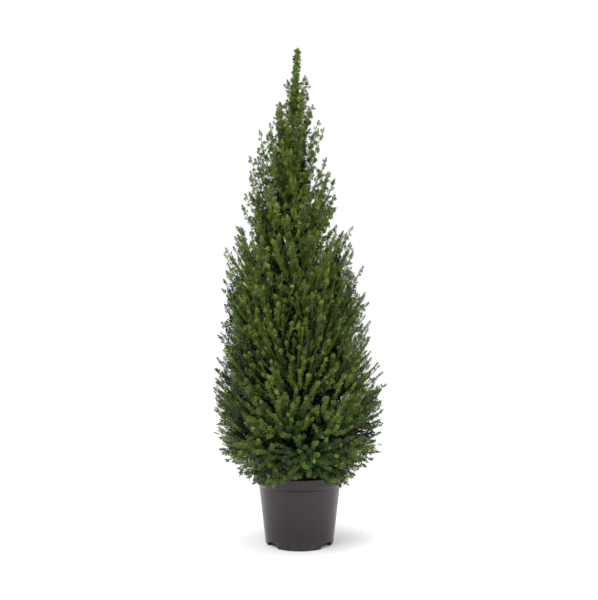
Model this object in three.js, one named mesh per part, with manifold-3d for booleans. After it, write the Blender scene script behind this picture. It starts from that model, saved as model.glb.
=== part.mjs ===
// A dwarf Alberta spruce in its nursery pot: pot, soil, trunk, main boughs and masses of needled shoots.
// Millimetres, +Z up. The origin is the centre of the pot's flat underside, and the plant's front faces -Y.
// The crown is laid out on growth lines. Each one leaves the trunk and sweeps outwards and up to the point
// where it meets the crown's outline at the height h. A mass of foliage keeps to the space between two
// heights h and two azimuths, so masses never touch, and its shoots all lie along its own growth lines.
import * as THREE from "three";
import { mergeVertices } from "three/addons/utils/BufferGeometryUtils.js";
import Module from "manifold-3d";

const wasm = await Module();
wasm.setup();

const CLEARANCE = 0.3; // between pieces that rest on each other

const POT = {
  sides: 28,
  height: 183,
  wall: 2,
  floor: 3,
  baseRadius: 87.5,
  baseChamfer: 2.5,
  bodyTopRadius: 106,
  bodyTop: 151,
  ledgeRadius: 110,
  ledgeHeight: 153.5,
  rimFootRise: 6, // the rim's lower edge curves up and out from the ledge
  rimFootRun: 6.5,
  rimFoot: 167,
  rimRadius: 120,
  rimDraft: 0.8,
  lipChamfer: 0.8,
};
const RECESS = {
  azimuths: [-52, 52, -128, 128], // degrees from the front, between the four feet
  innerRadius: 68,
  width: 42,
  height: 12,
  corner: 7,
  holeRadius: 5,
  holeAt: 79,
  holeSides: 8,
};
const SOIL = { top: 165, edgeDrop: 4, levelRadius: 34 };

const TRUNK = {
  sides: 12,
  rings: 14,
  top: 1075,
  footRadius: 21,
  flareHeight: 38,
  radius: 14.5,
  tipRadius: 3,
  taper: 0.85, // under 1, the trunk thins faster low down
  crowding: 1.35, // over 1, its rings stand closer near the foot
};
// The trunk's and the crown's sway to the left, as x at a height.
const SWAY = [
  [165, 0],
  [400, -4],
  [550, -14],
  [750, -20],
  [1000, -26],
  [1150, -12],
  [1290, -4],
];

// The crown's outline, as radius at a height.
const OUTLINE = [
  [165, 146],
  [198, 168],
  [230, 203],
  [292, 216],
  [402, 224],
  [448, 213],
  [500, 196],
  [604, 187],
  [700, 176],
  [760, 166],
  [838, 134],
  [932, 112],
  [1057, 86],
  [1095, 60],
  [1135, 41],
  [1213, 20],
  [1290, 6],
];
// How steeply a growth line rises where it meets the outline, in degrees.
const RISE = [
  [165, -26],
  [230, -8],
  [270, 6],
  [330, 22],
  [400, 34],
  [500, 44],
  [600, 51],
  [700, 57],
  [800, 62],
  [900, 66],
  [1000, 70],
  [1100, 75],
  [1290, 82],
];
const SWEEP = 1.25; // over 1, a growth line leaves the trunk flatter than it ends

const CROWN_TOP = 1284;
const TIERS = [
  { name: "t1", low: 168, high: 296, count: 6, first: 12, shoots: 7, bough: 5.2 },
  { name: "t2", low: 296, high: 420, count: 6, first: 42, shoots: 6, bough: 5 },
  { name: "t3", low: 420, high: 556, count: 5, first: 0, shoots: 7, bough: 4.6 },
  { name: "t4", low: 556, high: 694, count: 5, first: 36, shoots: 6, bough: 4.2 },
  { name: "t5", low: 694, high: 830, count: 4, first: 20, shoots: 6 },
  { name: "t6", low: 830, high: 980, count: 3, first: 50, shoots: 7 },
  { name: "t7", low: 980, high: 1150, count: 3, first: -10, shoots: 6 },
];

const MASS = {
  margin: 4, // height h kept free below and above
  sideMargin: 0.8, // kept free beside the neighbouring mass
  trunkMargin: 2,
  lineStart: 0.01, // shares of the way from the trunk's axis to the outline
  boughEnd: 0.32,
  shootsFrom: 0.35,
  stemEnd: 0.6,
  coreFrom: 0.36,
  coreTo: 0.7,
  coreShare: 0.8, // of the space's width and height
  coreFullness: 0.8, // 1 is an ellipsoid, and less is nearer to a box
  coreLumps: 0.2,
};
const BOUGH = { sides: 6, rings: 3, rootShare: 1.25, tipShare: 0.8 };
const STEM = { sides: 5, rings: 4, tipShare: 0.45, radius: 2.9 };
const TWIG_RADIUS = 2.4;
const SHOOT = {
  length: 112,
  lengthSpread: 30,
  shortest: 56,
  cutBack: 12, // a shoot that leaves its space is tried again this much shorter
  reachSpread: 0.17,
  tiers: 2,
  bare: 0.22, // shares of its length where its needles start and end
  leafy: 0.97,
  core: 4.2,
  needleReach: 17,
  firstTierShare: 0.8,
  needleAhead: 15,
  twist: 0.5,
};
// How a mass's shoots are dealt out over its space.
const SPREAD = {
  across: 0.9, // shares of the space's half width and half height
  upwards: 0.88,
  shift: 0.37, // each mass starts its round of azimuths elsewhere
  fan: 0.86, // under 1, shoots fan out from the stem
  firstRoot: 0.7, // shares of the stem
  lastRoot: 0.95,
};
const LEADER = {
  seed: 7,
  stemRadius: 3,
  stemEnd: 0.34, // shares of the way to the top
  overlap: 0.06,
  tiers: 4,
  sideShoots: 6,
  sideFrom: 0.04,
  sideSpan: 0.55,
  sideLength: 70,
  sideShorter: 0.42, // share of its length that the topmost side shoot lacks
  sideLean: 19,
  sideBare: 0.2,
};

const COLOURS = {
  pot: { color: 0x46403f, roughness: 0.5, metalness: 0 },
  soil: { color: 0x2b1f17, roughness: 1, metalness: 0 },
  bark: { color: 0x6b5138, roughness: 0.95, metalness: 0 },
  needles: { color: 0x37501f, roughness: 0.8, metalness: 0 },
};

const GOLDEN_SHARE = 0.618034;
const GOLDEN_ANGLE = 2.399963;
const UP = new THREE.Vector3(0, 0, 1);
const radians = THREE.MathUtils.degToRad;

// A stream of even random numbers from 0 to 1, the same for the same seed.
function seeded(seed) {
  let state = seed >>> 0;
  return () => {
    state = (state + 0x6d2b79f5) >>> 0;
    let mixed = Math.imul(state ^ (state >>> 15), state | 1);
    mixed ^= mixed + Math.imul(mixed ^ (mixed >>> 7), mixed | 61);
    return ((mixed ^ (mixed >>> 14)) >>> 0) / 4294967296;
  };
}

// The value at x in a table of [x, value] rows, straight between rows.
function lookUp(table, x) {
  const next = table.findIndex((row) => row[0] >= x);
  if (next === 0) return table[0][1];
  if (next < 0) return table[table.length - 1][1];
  const [x0, value0] = table[next - 1];
  const [x1, value1] = table[next];
  return value0 + ((value1 - value0) * (x - x0)) / (x1 - x0);
}

function solidOf(geometry) {
  const plain = geometry.clone();
  plain.deleteAttribute("normal");
  plain.deleteAttribute("uv");
  const merged = mergeVertices(plain, 1e-3);
  return new wasm.Manifold(
    new wasm.Mesh({
      numProp: 3,
      vertProperties: merged.attributes.position.array,
      triVerts: new Uint32Array(merged.index.array),
    }),
  );
}

function geometryOf(solid) {
  const { vertProperties, triVerts } = solid.getMesh();
  const geometry = new THREE.BufferGeometry();
  geometry.setAttribute("position", new THREE.BufferAttribute(vertProperties, 3));
  return geometry.setIndex(new THREE.BufferAttribute(triVerts, 1));
}

function meshOf(solid, name, finish) {
  const geometry = geometryOf(solid);
  geometry.computeVertexNormals();
  const mesh = new THREE.Mesh(geometry, new THREE.MeshStandardMaterial(finish));
  mesh.name = name;
  return mesh;
}

// A turned solid from its profile of [radius, height] points, listed from the foot of the axis outwards.
function turned(profile, sides) {
  const points = profile.map(([radius, height]) => new THREE.Vector2(radius, height));
  return solidOf(new THREE.LatheGeometry(points, sides).rotateX(Math.PI / 2));
}

// ---- Growth lines

const swayAt = (z) => lookUp(SWAY, z);
const outlineAt = (h) => lookUp(OUTLINE, h);
const steepnessAt = (h) => Math.tan(radians(lookUp(RISE, h)));

function lineHeight(h, radius) {
  const outline = outlineAt(h);
  return h - ((steepnessAt(h) * outline) / SWEEP) * (1 - (radius / outline) ** SWEEP);
}

// The point at a share of the way along the growth line of azimuth and height h.
function onLine(azimuth, h, share) {
  const radius = share * outlineAt(h);
  const z = lineHeight(h, radius);
  return new THREE.Vector3(
    swayAt(z) + radius * Math.sin(azimuth),
    -radius * Math.cos(azimuth),
    z,
  );
}

// The share of a growth line that a length takes near a given share.
function shareOf(length, h, share) {
  const steepness = steepnessAt(h) * share ** (SWEEP - 1);
  return length / (outlineAt(h) * Math.hypot(1, steepness));
}

// The height h of the growth line through a radius and a height z.
function lineThrough(radius, z) {
  let low = TIERS[0].low - 60;
  let high = CROWN_TOP + 60;
  for (let step = 0; step < 22; step++) {
    const middle = (low + high) / 2;
    if (lineHeight(middle, radius) < z) low = middle;
    else high = middle;
  }
  return (low + high) / 2;
}

function trunkRadius(z) {
  const above = z - SOIL.top;
  const share = THREE.MathUtils.clamp(above / (TRUNK.top - SOIL.top), 0, 1);
  const flare = Math.max(0, 1 - above / TRUNK.flareHeight) ** 2;
  const plain = TRUNK.radius + (TRUNK.tipRadius - TRUNK.radius) * share ** TRUNK.taper;
  return plain + (TRUNK.footRadius - TRUNK.radius) * flare;
}

// Whether a point lies in a mass's own space.
function holds(space, point) {
  const x = point.x - swayAt(point.z);
  const radius = Math.hypot(x, point.y);
  if (radius < trunkRadius(point.z) + MASS.trunkMargin) return false;
  const h = lineThrough(radius, point.z);
  if (h < space.low + MASS.margin || h > space.high - MASS.margin) return false;
  if (radius < MASS.shootsFrom * outlineAt(h)) return false;
  let turn = Math.atan2(x, -point.y) - space.azimuth;
  turn -= Math.round(turn / (2 * Math.PI)) * 2 * Math.PI;
  const spare = space.halfWidth - Math.abs(turn);
  return spare > 0 && radius * Math.sin(Math.min(spare, Math.PI / 2)) > MASS.sideMargin;
}

function keepsTo(space, geometry) {
  const position = geometry.attributes.position;
  const point = new THREE.Vector3();
  for (let i = 0; i < position.count; i++)
    if (!holds(space, point.fromBufferAttribute(position, i))) return false;
  return true;
}

// ---- Limbs, shoots and needles

// A limb of a round section along a curve, its radius going from the first value to the last.
function limb(curve, fromRadius, toRadius, sides, rings) {
  const geometry = new THREE.CylinderGeometry(1, 1, 1, sides, rings);
  const position = geometry.attributes.position;
  const frames = curve.computeFrenetFrames(rings);
  const point = new THREE.Vector3();
  for (let i = 0; i < position.count; i++) {
    const share = 0.5 - position.getY(i);
    const ring = Math.round(share * rings);
    const radius = fromRadius + (toRadius - fromRadius) * share;
    curve.getPoint(share, point);
    point.addScaledVector(frames.normals[ring], position.getX(i) * radius);
    point.addScaledVector(frames.binormals[ring], position.getZ(i) * radius);
    position.setXYZ(i, point.x, point.y, point.z);
  }
  return geometry;
}

// A twig from its root on a stem to a point where it turns into a shoot that ends at its tip. The shoot is
// a slim three-sided core from which needles stand out forwards in tiers of three.
function shoot(root, from, tip, tiers, random) {
  const rings = 2 * tiers + 2;
  const geometry = new THREE.CylinderGeometry(0, 1, 1, 3, rings);
  const position = geometry.attributes.position;
  const direction = tip.clone().sub(from);
  const length = direction.length();
  const turn = new THREE.Quaternion().setFromUnitVectors(UP, direction.normalize());
  const spin = random() * 2 * Math.PI;
  const girth = 0.85 + 0.3 * random();
  const point = new THREE.Vector3();
  for (let i = 0; i < position.count; i++) {
    const ring = Math.round((position.getY(i) + 0.5) * rings);
    const isTip = ring > 1 && ring < rings && ring % 2 === 0;
    const tier = Math.floor(ring / 2);
    let share = SHOOT.bare + (SHOOT.leafy - SHOOT.bare) * ((tier - 0.5) / tiers);
    if (ring < 2) share = 0;
    if (ring === rings) share = 1;
    const inner = ring === 0 ? TWIG_RADIUS : SHOOT.core;
    const needleReach = SHOOT.needleReach * (tier > 1 ? 1 : SHOOT.firstTierShare);
    const radius = girth * (isTip ? needleReach : inner);
    point.set(position.getX(i) * radius, -position.getZ(i) * radius, share * length);
    point.applyAxisAngle(UP, spin + ring * SHOOT.twist);
    if (isTip) point.z += SHOOT.needleAhead;
    point.applyQuaternion(turn).add(ring === 0 ? root : from);
    position.setXYZ(i, point.x, point.y, point.z);
  }
  return geometry;
}

// The pieces of a mass fused in one body, with any hollow that they seal in filled.
function joined(pieces, clearOfTrunk) {
  const whole = wasm.Manifold.union(pieces.map(solidOf)).subtract(clearOfTrunk);
  const bodies = solidOf(geometryOf(whole)).decompose();
  return bodies.reduce((a, b) => (a.volume() > b.volume() ? a : b));
}

class GrowthLine extends THREE.Curve {
  constructor(azimuth, h, from, to) {
    super();
    Object.assign(this, { azimuth, h, from, to });
  }

  getPoint(share, target = new THREE.Vector3()) {
    return target.copy(onLine(this.azimuth, this.h, this.from + share * (this.to - this.from)));
  }
}

// ---- The pot and its soil

function potProfile(inset) {
  return [
    [POT.bodyTopRadius - inset, POT.bodyTop],
    [POT.ledgeRadius - inset, POT.ledgeHeight],
    [POT.ledgeRadius + POT.rimFootRun - inset, POT.ledgeHeight + POT.rimFootRise],
    [POT.rimRadius - POT.rimDraft - inset, POT.rimFoot],
  ];
}

// The hollow under the pot's edge between two feet: round-cornered, open below and at its outer end.
function recess(azimuth, grow) {
  const half = RECESS.width / 2 + grow;
  const top = RECESS.height + grow;
  const shape = new THREE.Shape();
  shape.moveTo(-half, -1);
  shape.lineTo(half, -1);
  shape.lineTo(half, top - RECESS.corner);
  shape.quadraticCurveTo(half, top, half - RECESS.corner, top);
  shape.lineTo(RECESS.corner - half, top);
  shape.quadraticCurveTo(-half, top, -half, top - RECESS.corner);
  const depth = POT.bodyTopRadius - RECESS.innerRadius + grow;
  const geometry = new THREE.ExtrudeGeometry(shape, { depth, bevelEnabled: false, curveSegments: 3 });
  geometry.rotateX(Math.PI / 2).translate(0, grow - RECESS.innerRadius, 0);
  return solidOf(geometry.rotateZ(radians(azimuth)));
}

function makePot() {
  const { wall, floor, baseRadius, baseChamfer, height, rimRadius, lipChamfer } = POT;
  const { holeRadius, holeSides } = RECESS;
  const outside = [
    [0, 0],
    [baseRadius - baseChamfer, 0],
    [baseRadius, baseChamfer],
    ...potProfile(0),
    [rimRadius, height - lipChamfer],
    [rimRadius - lipChamfer, height],
  ];
  const inside = [
    [rimRadius - wall, height],
    ...potProfile(wall).reverse(),
    [baseRadius - wall, floor],
    [0, floor],
  ];
  const filled = turned([...outside, [0, height]], POT.sides);
  const shell = turned([...outside, ...inside], POT.sides);
  const recesses = wasm.Manifold.union(RECESS.azimuths.map((azimuth) => recess(azimuth, 0)));
  const housings = RECESS.azimuths.map((azimuth) => recess(azimuth, wall));
  const holes = RECESS.azimuths.map((azimuth) =>
    solidOf(
      new THREE.CylinderGeometry(holeRadius, holeRadius, 3 * RECESS.height, holeSides)
        .rotateX(Math.PI / 2)
        .translate(0, -RECESS.holeAt, 0)
        .rotateZ(radians(azimuth)),
    ),
  );
  return wasm.Manifold.union(housings)
    .intersect(filled)
    .add(shell)
    .subtract(recesses)
    .subtract(wasm.Manifold.union(holes));
}

function makeSoil() {
  const inset = POT.wall + CLEARANCE;
  const low = POT.floor + CLEARANCE;
  const edge = SOIL.top - SOIL.edgeDrop;
  const [body, ledge, curve] = potProfile(inset);
  const profile = [
    [0, low],
    [POT.baseRadius - inset, low],
    body,
    ledge,
    curve,
    [curve[0] + CLEARANCE, edge],
    [SOIL.levelRadius, SOIL.top],
    [0, SOIL.top],
  ];
  const housings = RECESS.azimuths.map((azimuth) => recess(azimuth, inset));
  return turned(profile, POT.sides / 2).subtract(wasm.Manifold.union(housings));
}

// ---- Trunk, boughs and masses

function trunkSolid(grow) {
  const foot = SOIL.top + CLEARANCE - grow;
  const geometry = new THREE.CylinderGeometry(1, 1, 1, TRUNK.sides, TRUNK.rings);
  const position = geometry.rotateX(Math.PI / 2).attributes.position;
  for (let i = 0; i < position.count; i++) {
    const share = position.getZ(i) + 0.5;
    const z = foot + (TRUNK.top + grow - foot) * share ** TRUNK.crowding;
    const radius = trunkRadius(z) + grow;
    position.setXYZ(i, swayAt(z) + position.getX(i) * radius, position.getY(i) * radius, z);
  }
  return solidOf(geometry);
}

function boughOf(space, clearOfTrunk) {
  const line = new GrowthLine(space.azimuth, space.middle, MASS.lineStart, MASS.boughEnd);
  const rootRadius = space.bough * BOUGH.rootShare;
  const tipRadius = space.bough * BOUGH.tipShare;
  return solidOf(limb(line, rootRadius, tipRadius, BOUGH.sides, BOUGH.rings)).subtract(clearOfTrunk);
}

// A mass's core: an uneven lump that follows the growth lines and fills the middle of its space.
function coreOf(space, random) {
  const plain = new THREE.SphereGeometry(1, 6, 4).rotateX(Math.PI / 2);
  plain.deleteAttribute("normal");
  plain.deleteAttribute("uv");
  const geometry = mergeVertices(plain, 1e-3);
  const position = geometry.attributes.position;
  const fuller = (value) => Math.sign(value) * Math.abs(value) ** MASS.coreFullness;
  const halfHeight = (space.high - space.low) / 2;
  for (let i = 0; i < position.count; i++) {
    const lump = 1 - MASS.coreLumps * random();
    const along = (1 + fuller(position.getZ(i)) * lump) / 2;
    const share = MASS.coreFrom + (MASS.coreTo - MASS.coreFrom) * along;
    const h = space.middle + fuller(position.getY(i)) * lump * halfHeight * MASS.coreShare;
    const across = fuller(position.getX(i)) * lump * MASS.coreShare;
    const point = onLine(space.azimuth + across * space.halfWidth, h, share);
    position.setXYZ(i, point.x, point.y, point.z);
  }
  return geometry;
}

// Shoot number i of a mass: its twig springs from the stem, and it ends near the crown's outline.
function growShoot(space, i, random) {
  const rise = (i + 0.25 + 0.5 * random()) / space.shoots;
  const across = SPREAD.across * (2 * ((i * GOLDEN_SHARE + space.seed * SPREAD.shift) % 1) - 1);
  const upwards = SPREAD.upwards * (2 * rise - 1) * (space.high - space.low) / 2;
  const azimuth = space.azimuth + across * space.halfWidth;
  const h = space.middle + upwards;
  const reach = 1 - SHOOT.reachSpread * random() ** 2;
  const tip = onLine(azimuth, h, reach);
  const rootShare = MASS.stemEnd * (SPREAD.firstRoot + (SPREAD.lastRoot - SPREAD.firstRoot) * rise);
  const root = onLine(space.azimuth, space.middle, rootShare);
  const longest = SHOOT.length + SHOOT.lengthSpread * (random() - 0.5);
  for (let length = longest; length >= SHOOT.shortest; length -= SHOOT.cutBack) {
    const from = onLine(
      space.azimuth + SPREAD.fan * across * space.halfWidth,
      space.middle + SPREAD.fan * upwards,
      reach - shareOf(length, h, reach),
    );
    const grown = shoot(root, from, tip, SHOOT.tiers, random);
    if (keepsTo(space, grown)) return [grown];
  }
  return [];
}

function massOf(space, clearOfTrunk) {
  const random = seeded(space.seed);
  const gap = shareOf(CLEARANCE, space.middle, MASS.boughEnd);
  const from = space.bough ? MASS.boughEnd + gap : MASS.lineStart;
  const line = new GrowthLine(space.azimuth, space.middle, from, MASS.stemEnd);
  const stemRadius = space.bough ? space.bough * BOUGH.tipShare : STEM.radius;
  const pieces = [limb(line, stemRadius, stemRadius * STEM.tipShare, STEM.sides, STEM.rings)];
  pieces.push(coreOf(space, random));
  for (let i = 0; i < space.shoots; i++) pieces.push(...growShoot(space, i, random));
  return joined(pieces, clearOfTrunk);
}

// The topmost mass: the year's leading shoot on the trunk's tip, with short shoots close round it.
function leaderMass(clearOfTrunk) {
  const random = seeded(LEADER.seed);
  const foot = new THREE.Vector3(swayAt(TRUNK.top), 0, TRUNK.top + CLEARANCE);
  const top = new THREE.Vector3(swayAt(CROWN_TOP), 0, CROWN_TOP);
  const line = new THREE.LineCurve3(foot, top);
  const stem = new THREE.LineCurve3(foot, line.getPoint(LEADER.stemEnd));
  const pieces = [limb(stem, LEADER.stemRadius, LEADER.stemRadius * 0.8, 5, 1)];
  const fork = line.getPoint(LEADER.stemEnd - LEADER.overlap);
  pieces.push(shoot(fork, line.getPoint(LEADER.stemEnd), top, LEADER.tiers, random));
  for (let i = 0; i < LEADER.sideShoots; i++) {
    const along = i / LEADER.sideShoots;
    const root = line.getPoint(LEADER.sideFrom + LEADER.sideSpan * along);
    const lean = radians(LEADER.sideLean * (0.8 + 0.4 * random()));
    const direction = new THREE.Vector3(Math.sin(lean), 0, Math.cos(lean));
    direction.applyAxisAngle(UP, (i + 1) * GOLDEN_ANGLE);
    const length = LEADER.sideLength * (1 - LEADER.sideShorter * along);
    const tip = root.clone().addScaledVector(direction, length);
    pieces.push(shoot(root, root.clone().lerp(tip, LEADER.sideBare), tip, SHOOT.tiers, random));
  }
  return joined(pieces, clearOfTrunk);
}

function spacesOf(tier, tierIndex) {
  return Array.from({ length: tier.count }, (_, i) => ({
    ...tier,
    label: `${tier.name}_${i + 1}`,
    azimuth: radians(tier.first + (360 * i) / tier.count),
    halfWidth: Math.PI / tier.count,
    middle: (tier.low + tier.high) / 2,
    seed: 100 * (tierIndex + 1) + i,
  }));
}

const plant = new THREE.Group();
plant.name = "potted_spruce";
plant.add(meshOf(makePot(), "pot", COLOURS.pot));
plant.add(meshOf(makeSoil(), "soil", COLOURS.soil));
plant.add(meshOf(trunkSolid(0), "trunk", COLOURS.bark));

const clearOfTrunk = trunkSolid(CLEARANCE);
for (const space of TIERS.flatMap(spacesOf)) {
  if (space.bough)
    plant.add(meshOf(boughOf(space, clearOfTrunk), `bough_${space.label}`, COLOURS.bark));
  plant.add(meshOf(massOf(space, clearOfTrunk), `foliage_${space.label}`, COLOURS.needles));
}
plant.add(meshOf(leaderMass(clearOfTrunk), "foliage_leader", COLOURS.needles));

export default plant;
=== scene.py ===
"""A dwarf Alberta spruce in its nursery pot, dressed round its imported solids.

Meshes are in metres, +Z up, with the plant's front to -Y. Sizes are named in millimetres and turned into
metres where a mesh is made. The crown grows by the rule of its solids: growth lines leave the trunk and sweep
out and up to the crown's outline, and each mass of foliage has those between two heights and two azimuths.
"""

import logging
import math
from collections.abc import Iterable, Sequence
from dataclasses import dataclass, field
from enum import Enum

import bmesh
import bpy
import numpy as np
from mathutils import Matrix, Vector, noise


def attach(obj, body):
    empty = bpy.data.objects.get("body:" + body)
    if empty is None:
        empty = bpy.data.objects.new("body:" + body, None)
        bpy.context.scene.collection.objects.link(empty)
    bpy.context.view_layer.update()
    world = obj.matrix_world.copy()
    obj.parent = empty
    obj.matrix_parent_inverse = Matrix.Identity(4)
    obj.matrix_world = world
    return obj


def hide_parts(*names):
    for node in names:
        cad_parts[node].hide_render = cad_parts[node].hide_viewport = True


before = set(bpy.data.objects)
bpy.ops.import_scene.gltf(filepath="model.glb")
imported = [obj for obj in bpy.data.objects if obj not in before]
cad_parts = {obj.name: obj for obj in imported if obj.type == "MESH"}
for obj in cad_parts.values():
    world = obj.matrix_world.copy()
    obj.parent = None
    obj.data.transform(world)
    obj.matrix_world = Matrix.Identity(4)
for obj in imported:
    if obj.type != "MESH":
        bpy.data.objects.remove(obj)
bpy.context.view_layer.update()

log = logging.getLogger("spruce")

MM = 0.001
GOLDEN_SHARE = 0.618034
GOLDEN_ANGLE = 2.399963
STEM_END = 0.6
Table = tuple[tuple[float, float], ...]
Colour = tuple[float, float, float, float]
Numbers = float | np.ndarray
Material, Object = bpy.types.Material, bpy.types.Object
Node, Socket, Tree = bpy.types.Node, bpy.types.NodeSocket, bpy.types.NodeTree


def paint(red: int, green: int, blue: int) -> Colour:
    """A paint given by its screen values.

    Args:
        red: Red from 0 to 255.
        green: Green from 0 to 255.
        blue: Blue from 0 to 255.

    Returns:
        The linear colour that shaders take.
    """
    linear = [v / 3294.6 if v < 10.3 else ((v / 255 + 0.055) / 1.055) ** 2.4 for v in (red, green, blue)]
    return (*linear, 1.0)


# ---- Node trees


class NodeBoard:
    """A thin layer over a node tree that adds nodes and wires their sockets."""

    def __init__(self, tree: Tree) -> None:
        """Take the tree to work on."""
        self.tree = tree

    def add(self, kind: str, inputs: dict | None = None, **settings: object) -> Node:
        """Add a node.

        Args:
            kind: The node's type name.
            inputs: A value, or another node's output socket, for each input by name or number.
            **settings: The node's own properties.

        Returns:
            The new node.
        """
        node = self.tree.nodes.new(kind)
        for name, value in settings.items():
            setattr(node, name, value)
        for key, value in (inputs or {}).items():
            if isinstance(value, Socket):
                self.tree.links.new(value, node.inputs[key])
            else:
                node.inputs[key].default_value = value
        return node

    def maths(self, operation: str, first: object, second: object, clamp: bool = False) -> Socket:
        """One sum of two numbers, as the output socket of its Math node."""
        node = self.add("ShaderNodeMath", {0: first, 1: second}, operation=operation, use_clamp=clamp)
        return node.outputs[0]

    def blend(self, share: object, first: object, second: object) -> Socket:
        """Mix two colours.

        Args:
            share: The share of the second, as a number or a socket.
            first: The first colour, or its socket.
            second: The second colour, or its socket.

        Returns:
            The output socket of the Mix node.
        """
        inputs = {"Factor_Float": share, "A_Color": first, "B_Color": second}
        node = self.add("ShaderNodeMix", data_type="RGBA")
        for socket in node.inputs:
            if socket.identifier in inputs:
                value = inputs[socket.identifier]
                if isinstance(value, Socket):
                    self.tree.links.new(value, socket)
                else:
                    socket.default_value = value
        return next(socket for socket in node.outputs if socket.identifier == "Result_Color")

    def deliver(
        self, shapes: Socket, material: Socket, made: Node
    ) -> Tree:
        """End a Geometry Nodes tree: realize its shapes, dress them and wire them out.

        Args:
            shapes: The instances or meshes that the tree makes.
            material: Their material.
            made: The tree's output node.

        Returns:
            The whole tree.
        """
        real = self.add("GeometryNodeRealizeInstances", {0: shapes})
        dressed = self.add("GeometryNodeSetMaterial", {"Geometry": real.outputs[0], "Material": material})
        self.tree.links.new(dressed.outputs[0], made.inputs[0])
        return self.tree


@dataclass(frozen=True)
class Knob:
    """A named input or output of a node group."""

    name: str
    kind: str
    value: object = None


def new_group(
    name: str, kind: str, inputs: Sequence[Knob], outputs: Sequence[Knob]
) -> tuple[NodeBoard, Node, Node]:
    """Start a node group.

    Args:
        name: The group's name.
        kind: ShaderNodeTree or GeometryNodeTree.
        inputs: Its named inputs.
        outputs: Its named outputs.

    Returns:
        Its board, its input node and its output node.
    """
    tree = bpy.data.node_groups.new(name, kind)
    for knobs, way in ((inputs, "INPUT"), (outputs, "OUTPUT")):
        for knob in knobs:
            socket = tree.interface.new_socket(name=knob.name, in_out=way, socket_type=knob.kind)
            if knob.value is not None:
                socket.default_value = knob.value
    board = NodeBoard(tree)
    return board, board.add("NodeGroupInput"), board.add("NodeGroupOutput")


def mottle_group() -> Tree:
    """The uneven patches that every finish here uses.

    Returns:
        A shader group whose Value runs from 0 to 1 round a half, in patches that Stretch draws out.
    """
    inputs = (
        Knob("Stretch", "NodeSocketVector", (1.0, 1.0, 1.0)),
        Knob("Scale", "NodeSocketFloat", 100.0),
        Knob("Detail", "NodeSocketFloat", 2.0),
        Knob("Contrast", "NodeSocketFloat", 1.0),
    )
    board, given, made = new_group("mottle", "ShaderNodeTree", inputs, (Knob("Value", "NodeSocketFloat"),))
    place = board.add("ShaderNodeTexCoord").outputs["Object"]
    drawn = board.add("ShaderNodeVectorMath", {0: place, 1: given.outputs["Stretch"]}, operation="MULTIPLY")
    patches = board.add(
        "ShaderNodeTexNoise",
        {"Vector": drawn.outputs[0], "Scale": given.outputs["Scale"], "Detail": given.outputs["Detail"]},
    )
    centred = board.maths("SUBTRACT", patches.outputs[0], 0.5)
    raised = board.maths("MULTIPLY", centred, given.outputs["Contrast"])
    board.tree.links.new(board.maths("ADD", raised, 0.5, clamp=True), made.inputs["Value"])
    return board.tree


@dataclass(frozen=True)
class Patches:
    """How one layer of mottle lies on a finish."""

    scale: float
    contrast: float = 2.0
    detail: float = 2.0
    stretch: tuple[float, float, float] = (1.0, 1.0, 1.0)


class Finish:
    """The base of every finish: an opaque surface whose colour, gloss and relief come from mottle."""

    def __init__(self, name: str, specular: float = 0.5) -> None:
        """Start a material with a Principled shader."""
        self.material = bpy.data.materials.new(name)
        self.material.use_nodes = True
        self.board = NodeBoard(self.material.node_tree)
        self.shader = self.material.node_tree.nodes["Principled BSDF"]
        self.shader.inputs["Specular IOR Level"].default_value = specular

    def mottle(self, patches: Patches) -> Socket:
        """A layer of mottle, as its value socket."""
        group = bpy.data.node_groups.get("mottle") or mottle_group()
        node = self.board.add("ShaderNodeGroup", node_tree=group)
        node.inputs["Scale"].default_value = patches.scale
        node.inputs["Contrast"].default_value = patches.contrast
        node.inputs["Detail"].default_value = patches.detail
        node.inputs["Stretch"].default_value = patches.stretch
        return node.outputs["Value"]

    def colour(self, socket: Socket) -> None:
        """Wire a colour to the surface."""
        self.board.tree.links.new(socket, self.shader.inputs["Base Color"])

    def gloss(self, value: Socket, low: float, high: float) -> None:
        """Let the roughness run between two values."""
        scaled = self.board.maths("MULTIPLY_ADD", value, high - low)
        scaled.node.inputs[2].default_value = low
        self.board.tree.links.new(scaled, self.shader.inputs["Roughness"])

    def relief(self, height: Socket, depth: float) -> None:
        """Raise the surface by a height socket, up to a depth in metres."""
        bump = self.board.add("ShaderNodeBump", {"Height": height, "Distance": depth})
        self.board.tree.links.new(bump.outputs[0], self.shader.inputs["Normal"])


@dataclass(frozen=True)
class NeedleFinish:
    """The waxy skin of one tone of needles."""

    name: str
    base: Colour
    shaded: Colour
    rough: tuple[float, float] = (0.5, 0.7)
    sprays: Patches = Patches(scale=22.0, contrast=2.4)
    needles: Patches = Patches(scale=430.0, contrast=3.6, detail=1.0)

    def material(self) -> Material:
        """Make the material: two colours mixed by spray and again by needle."""
        finish = Finish(self.name, specular=0.2)
        by_spray = finish.mottle(self.sprays)
        by_needle = finish.mottle(self.needles)
        share = finish.board.maths("MULTIPLY", finish.board.maths("ADD", by_spray, by_needle), 0.5)
        finish.colour(finish.board.blend(share, self.shaded, self.base))
        finish.gloss(by_needle, *self.rough)
        return finish.material


@dataclass(frozen=True)
class BarkFinish:
    """Scaly bark, or the smoother skin of a young twig."""

    name: str
    ridge: Colour
    furrow: Colour
    scales: Patches
    fibres: Patches
    depth: float

    def material(self) -> Material:
        """Make the material: furrows between scales, with fibres along the limb."""
        finish = Finish(self.name, specular=0.25)
        scales = finish.mottle(self.scales)
        fibres = finish.mottle(self.fibres)
        height = finish.board.maths("MULTIPLY", finish.board.maths("ADD", scales, fibres), 0.5)
        finish.colour(finish.board.blend(height, self.furrow, self.ridge))
        finish.gloss(fibres, 0.75, 0.95)
        finish.relief(height, self.depth)
        return finish.material


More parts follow.
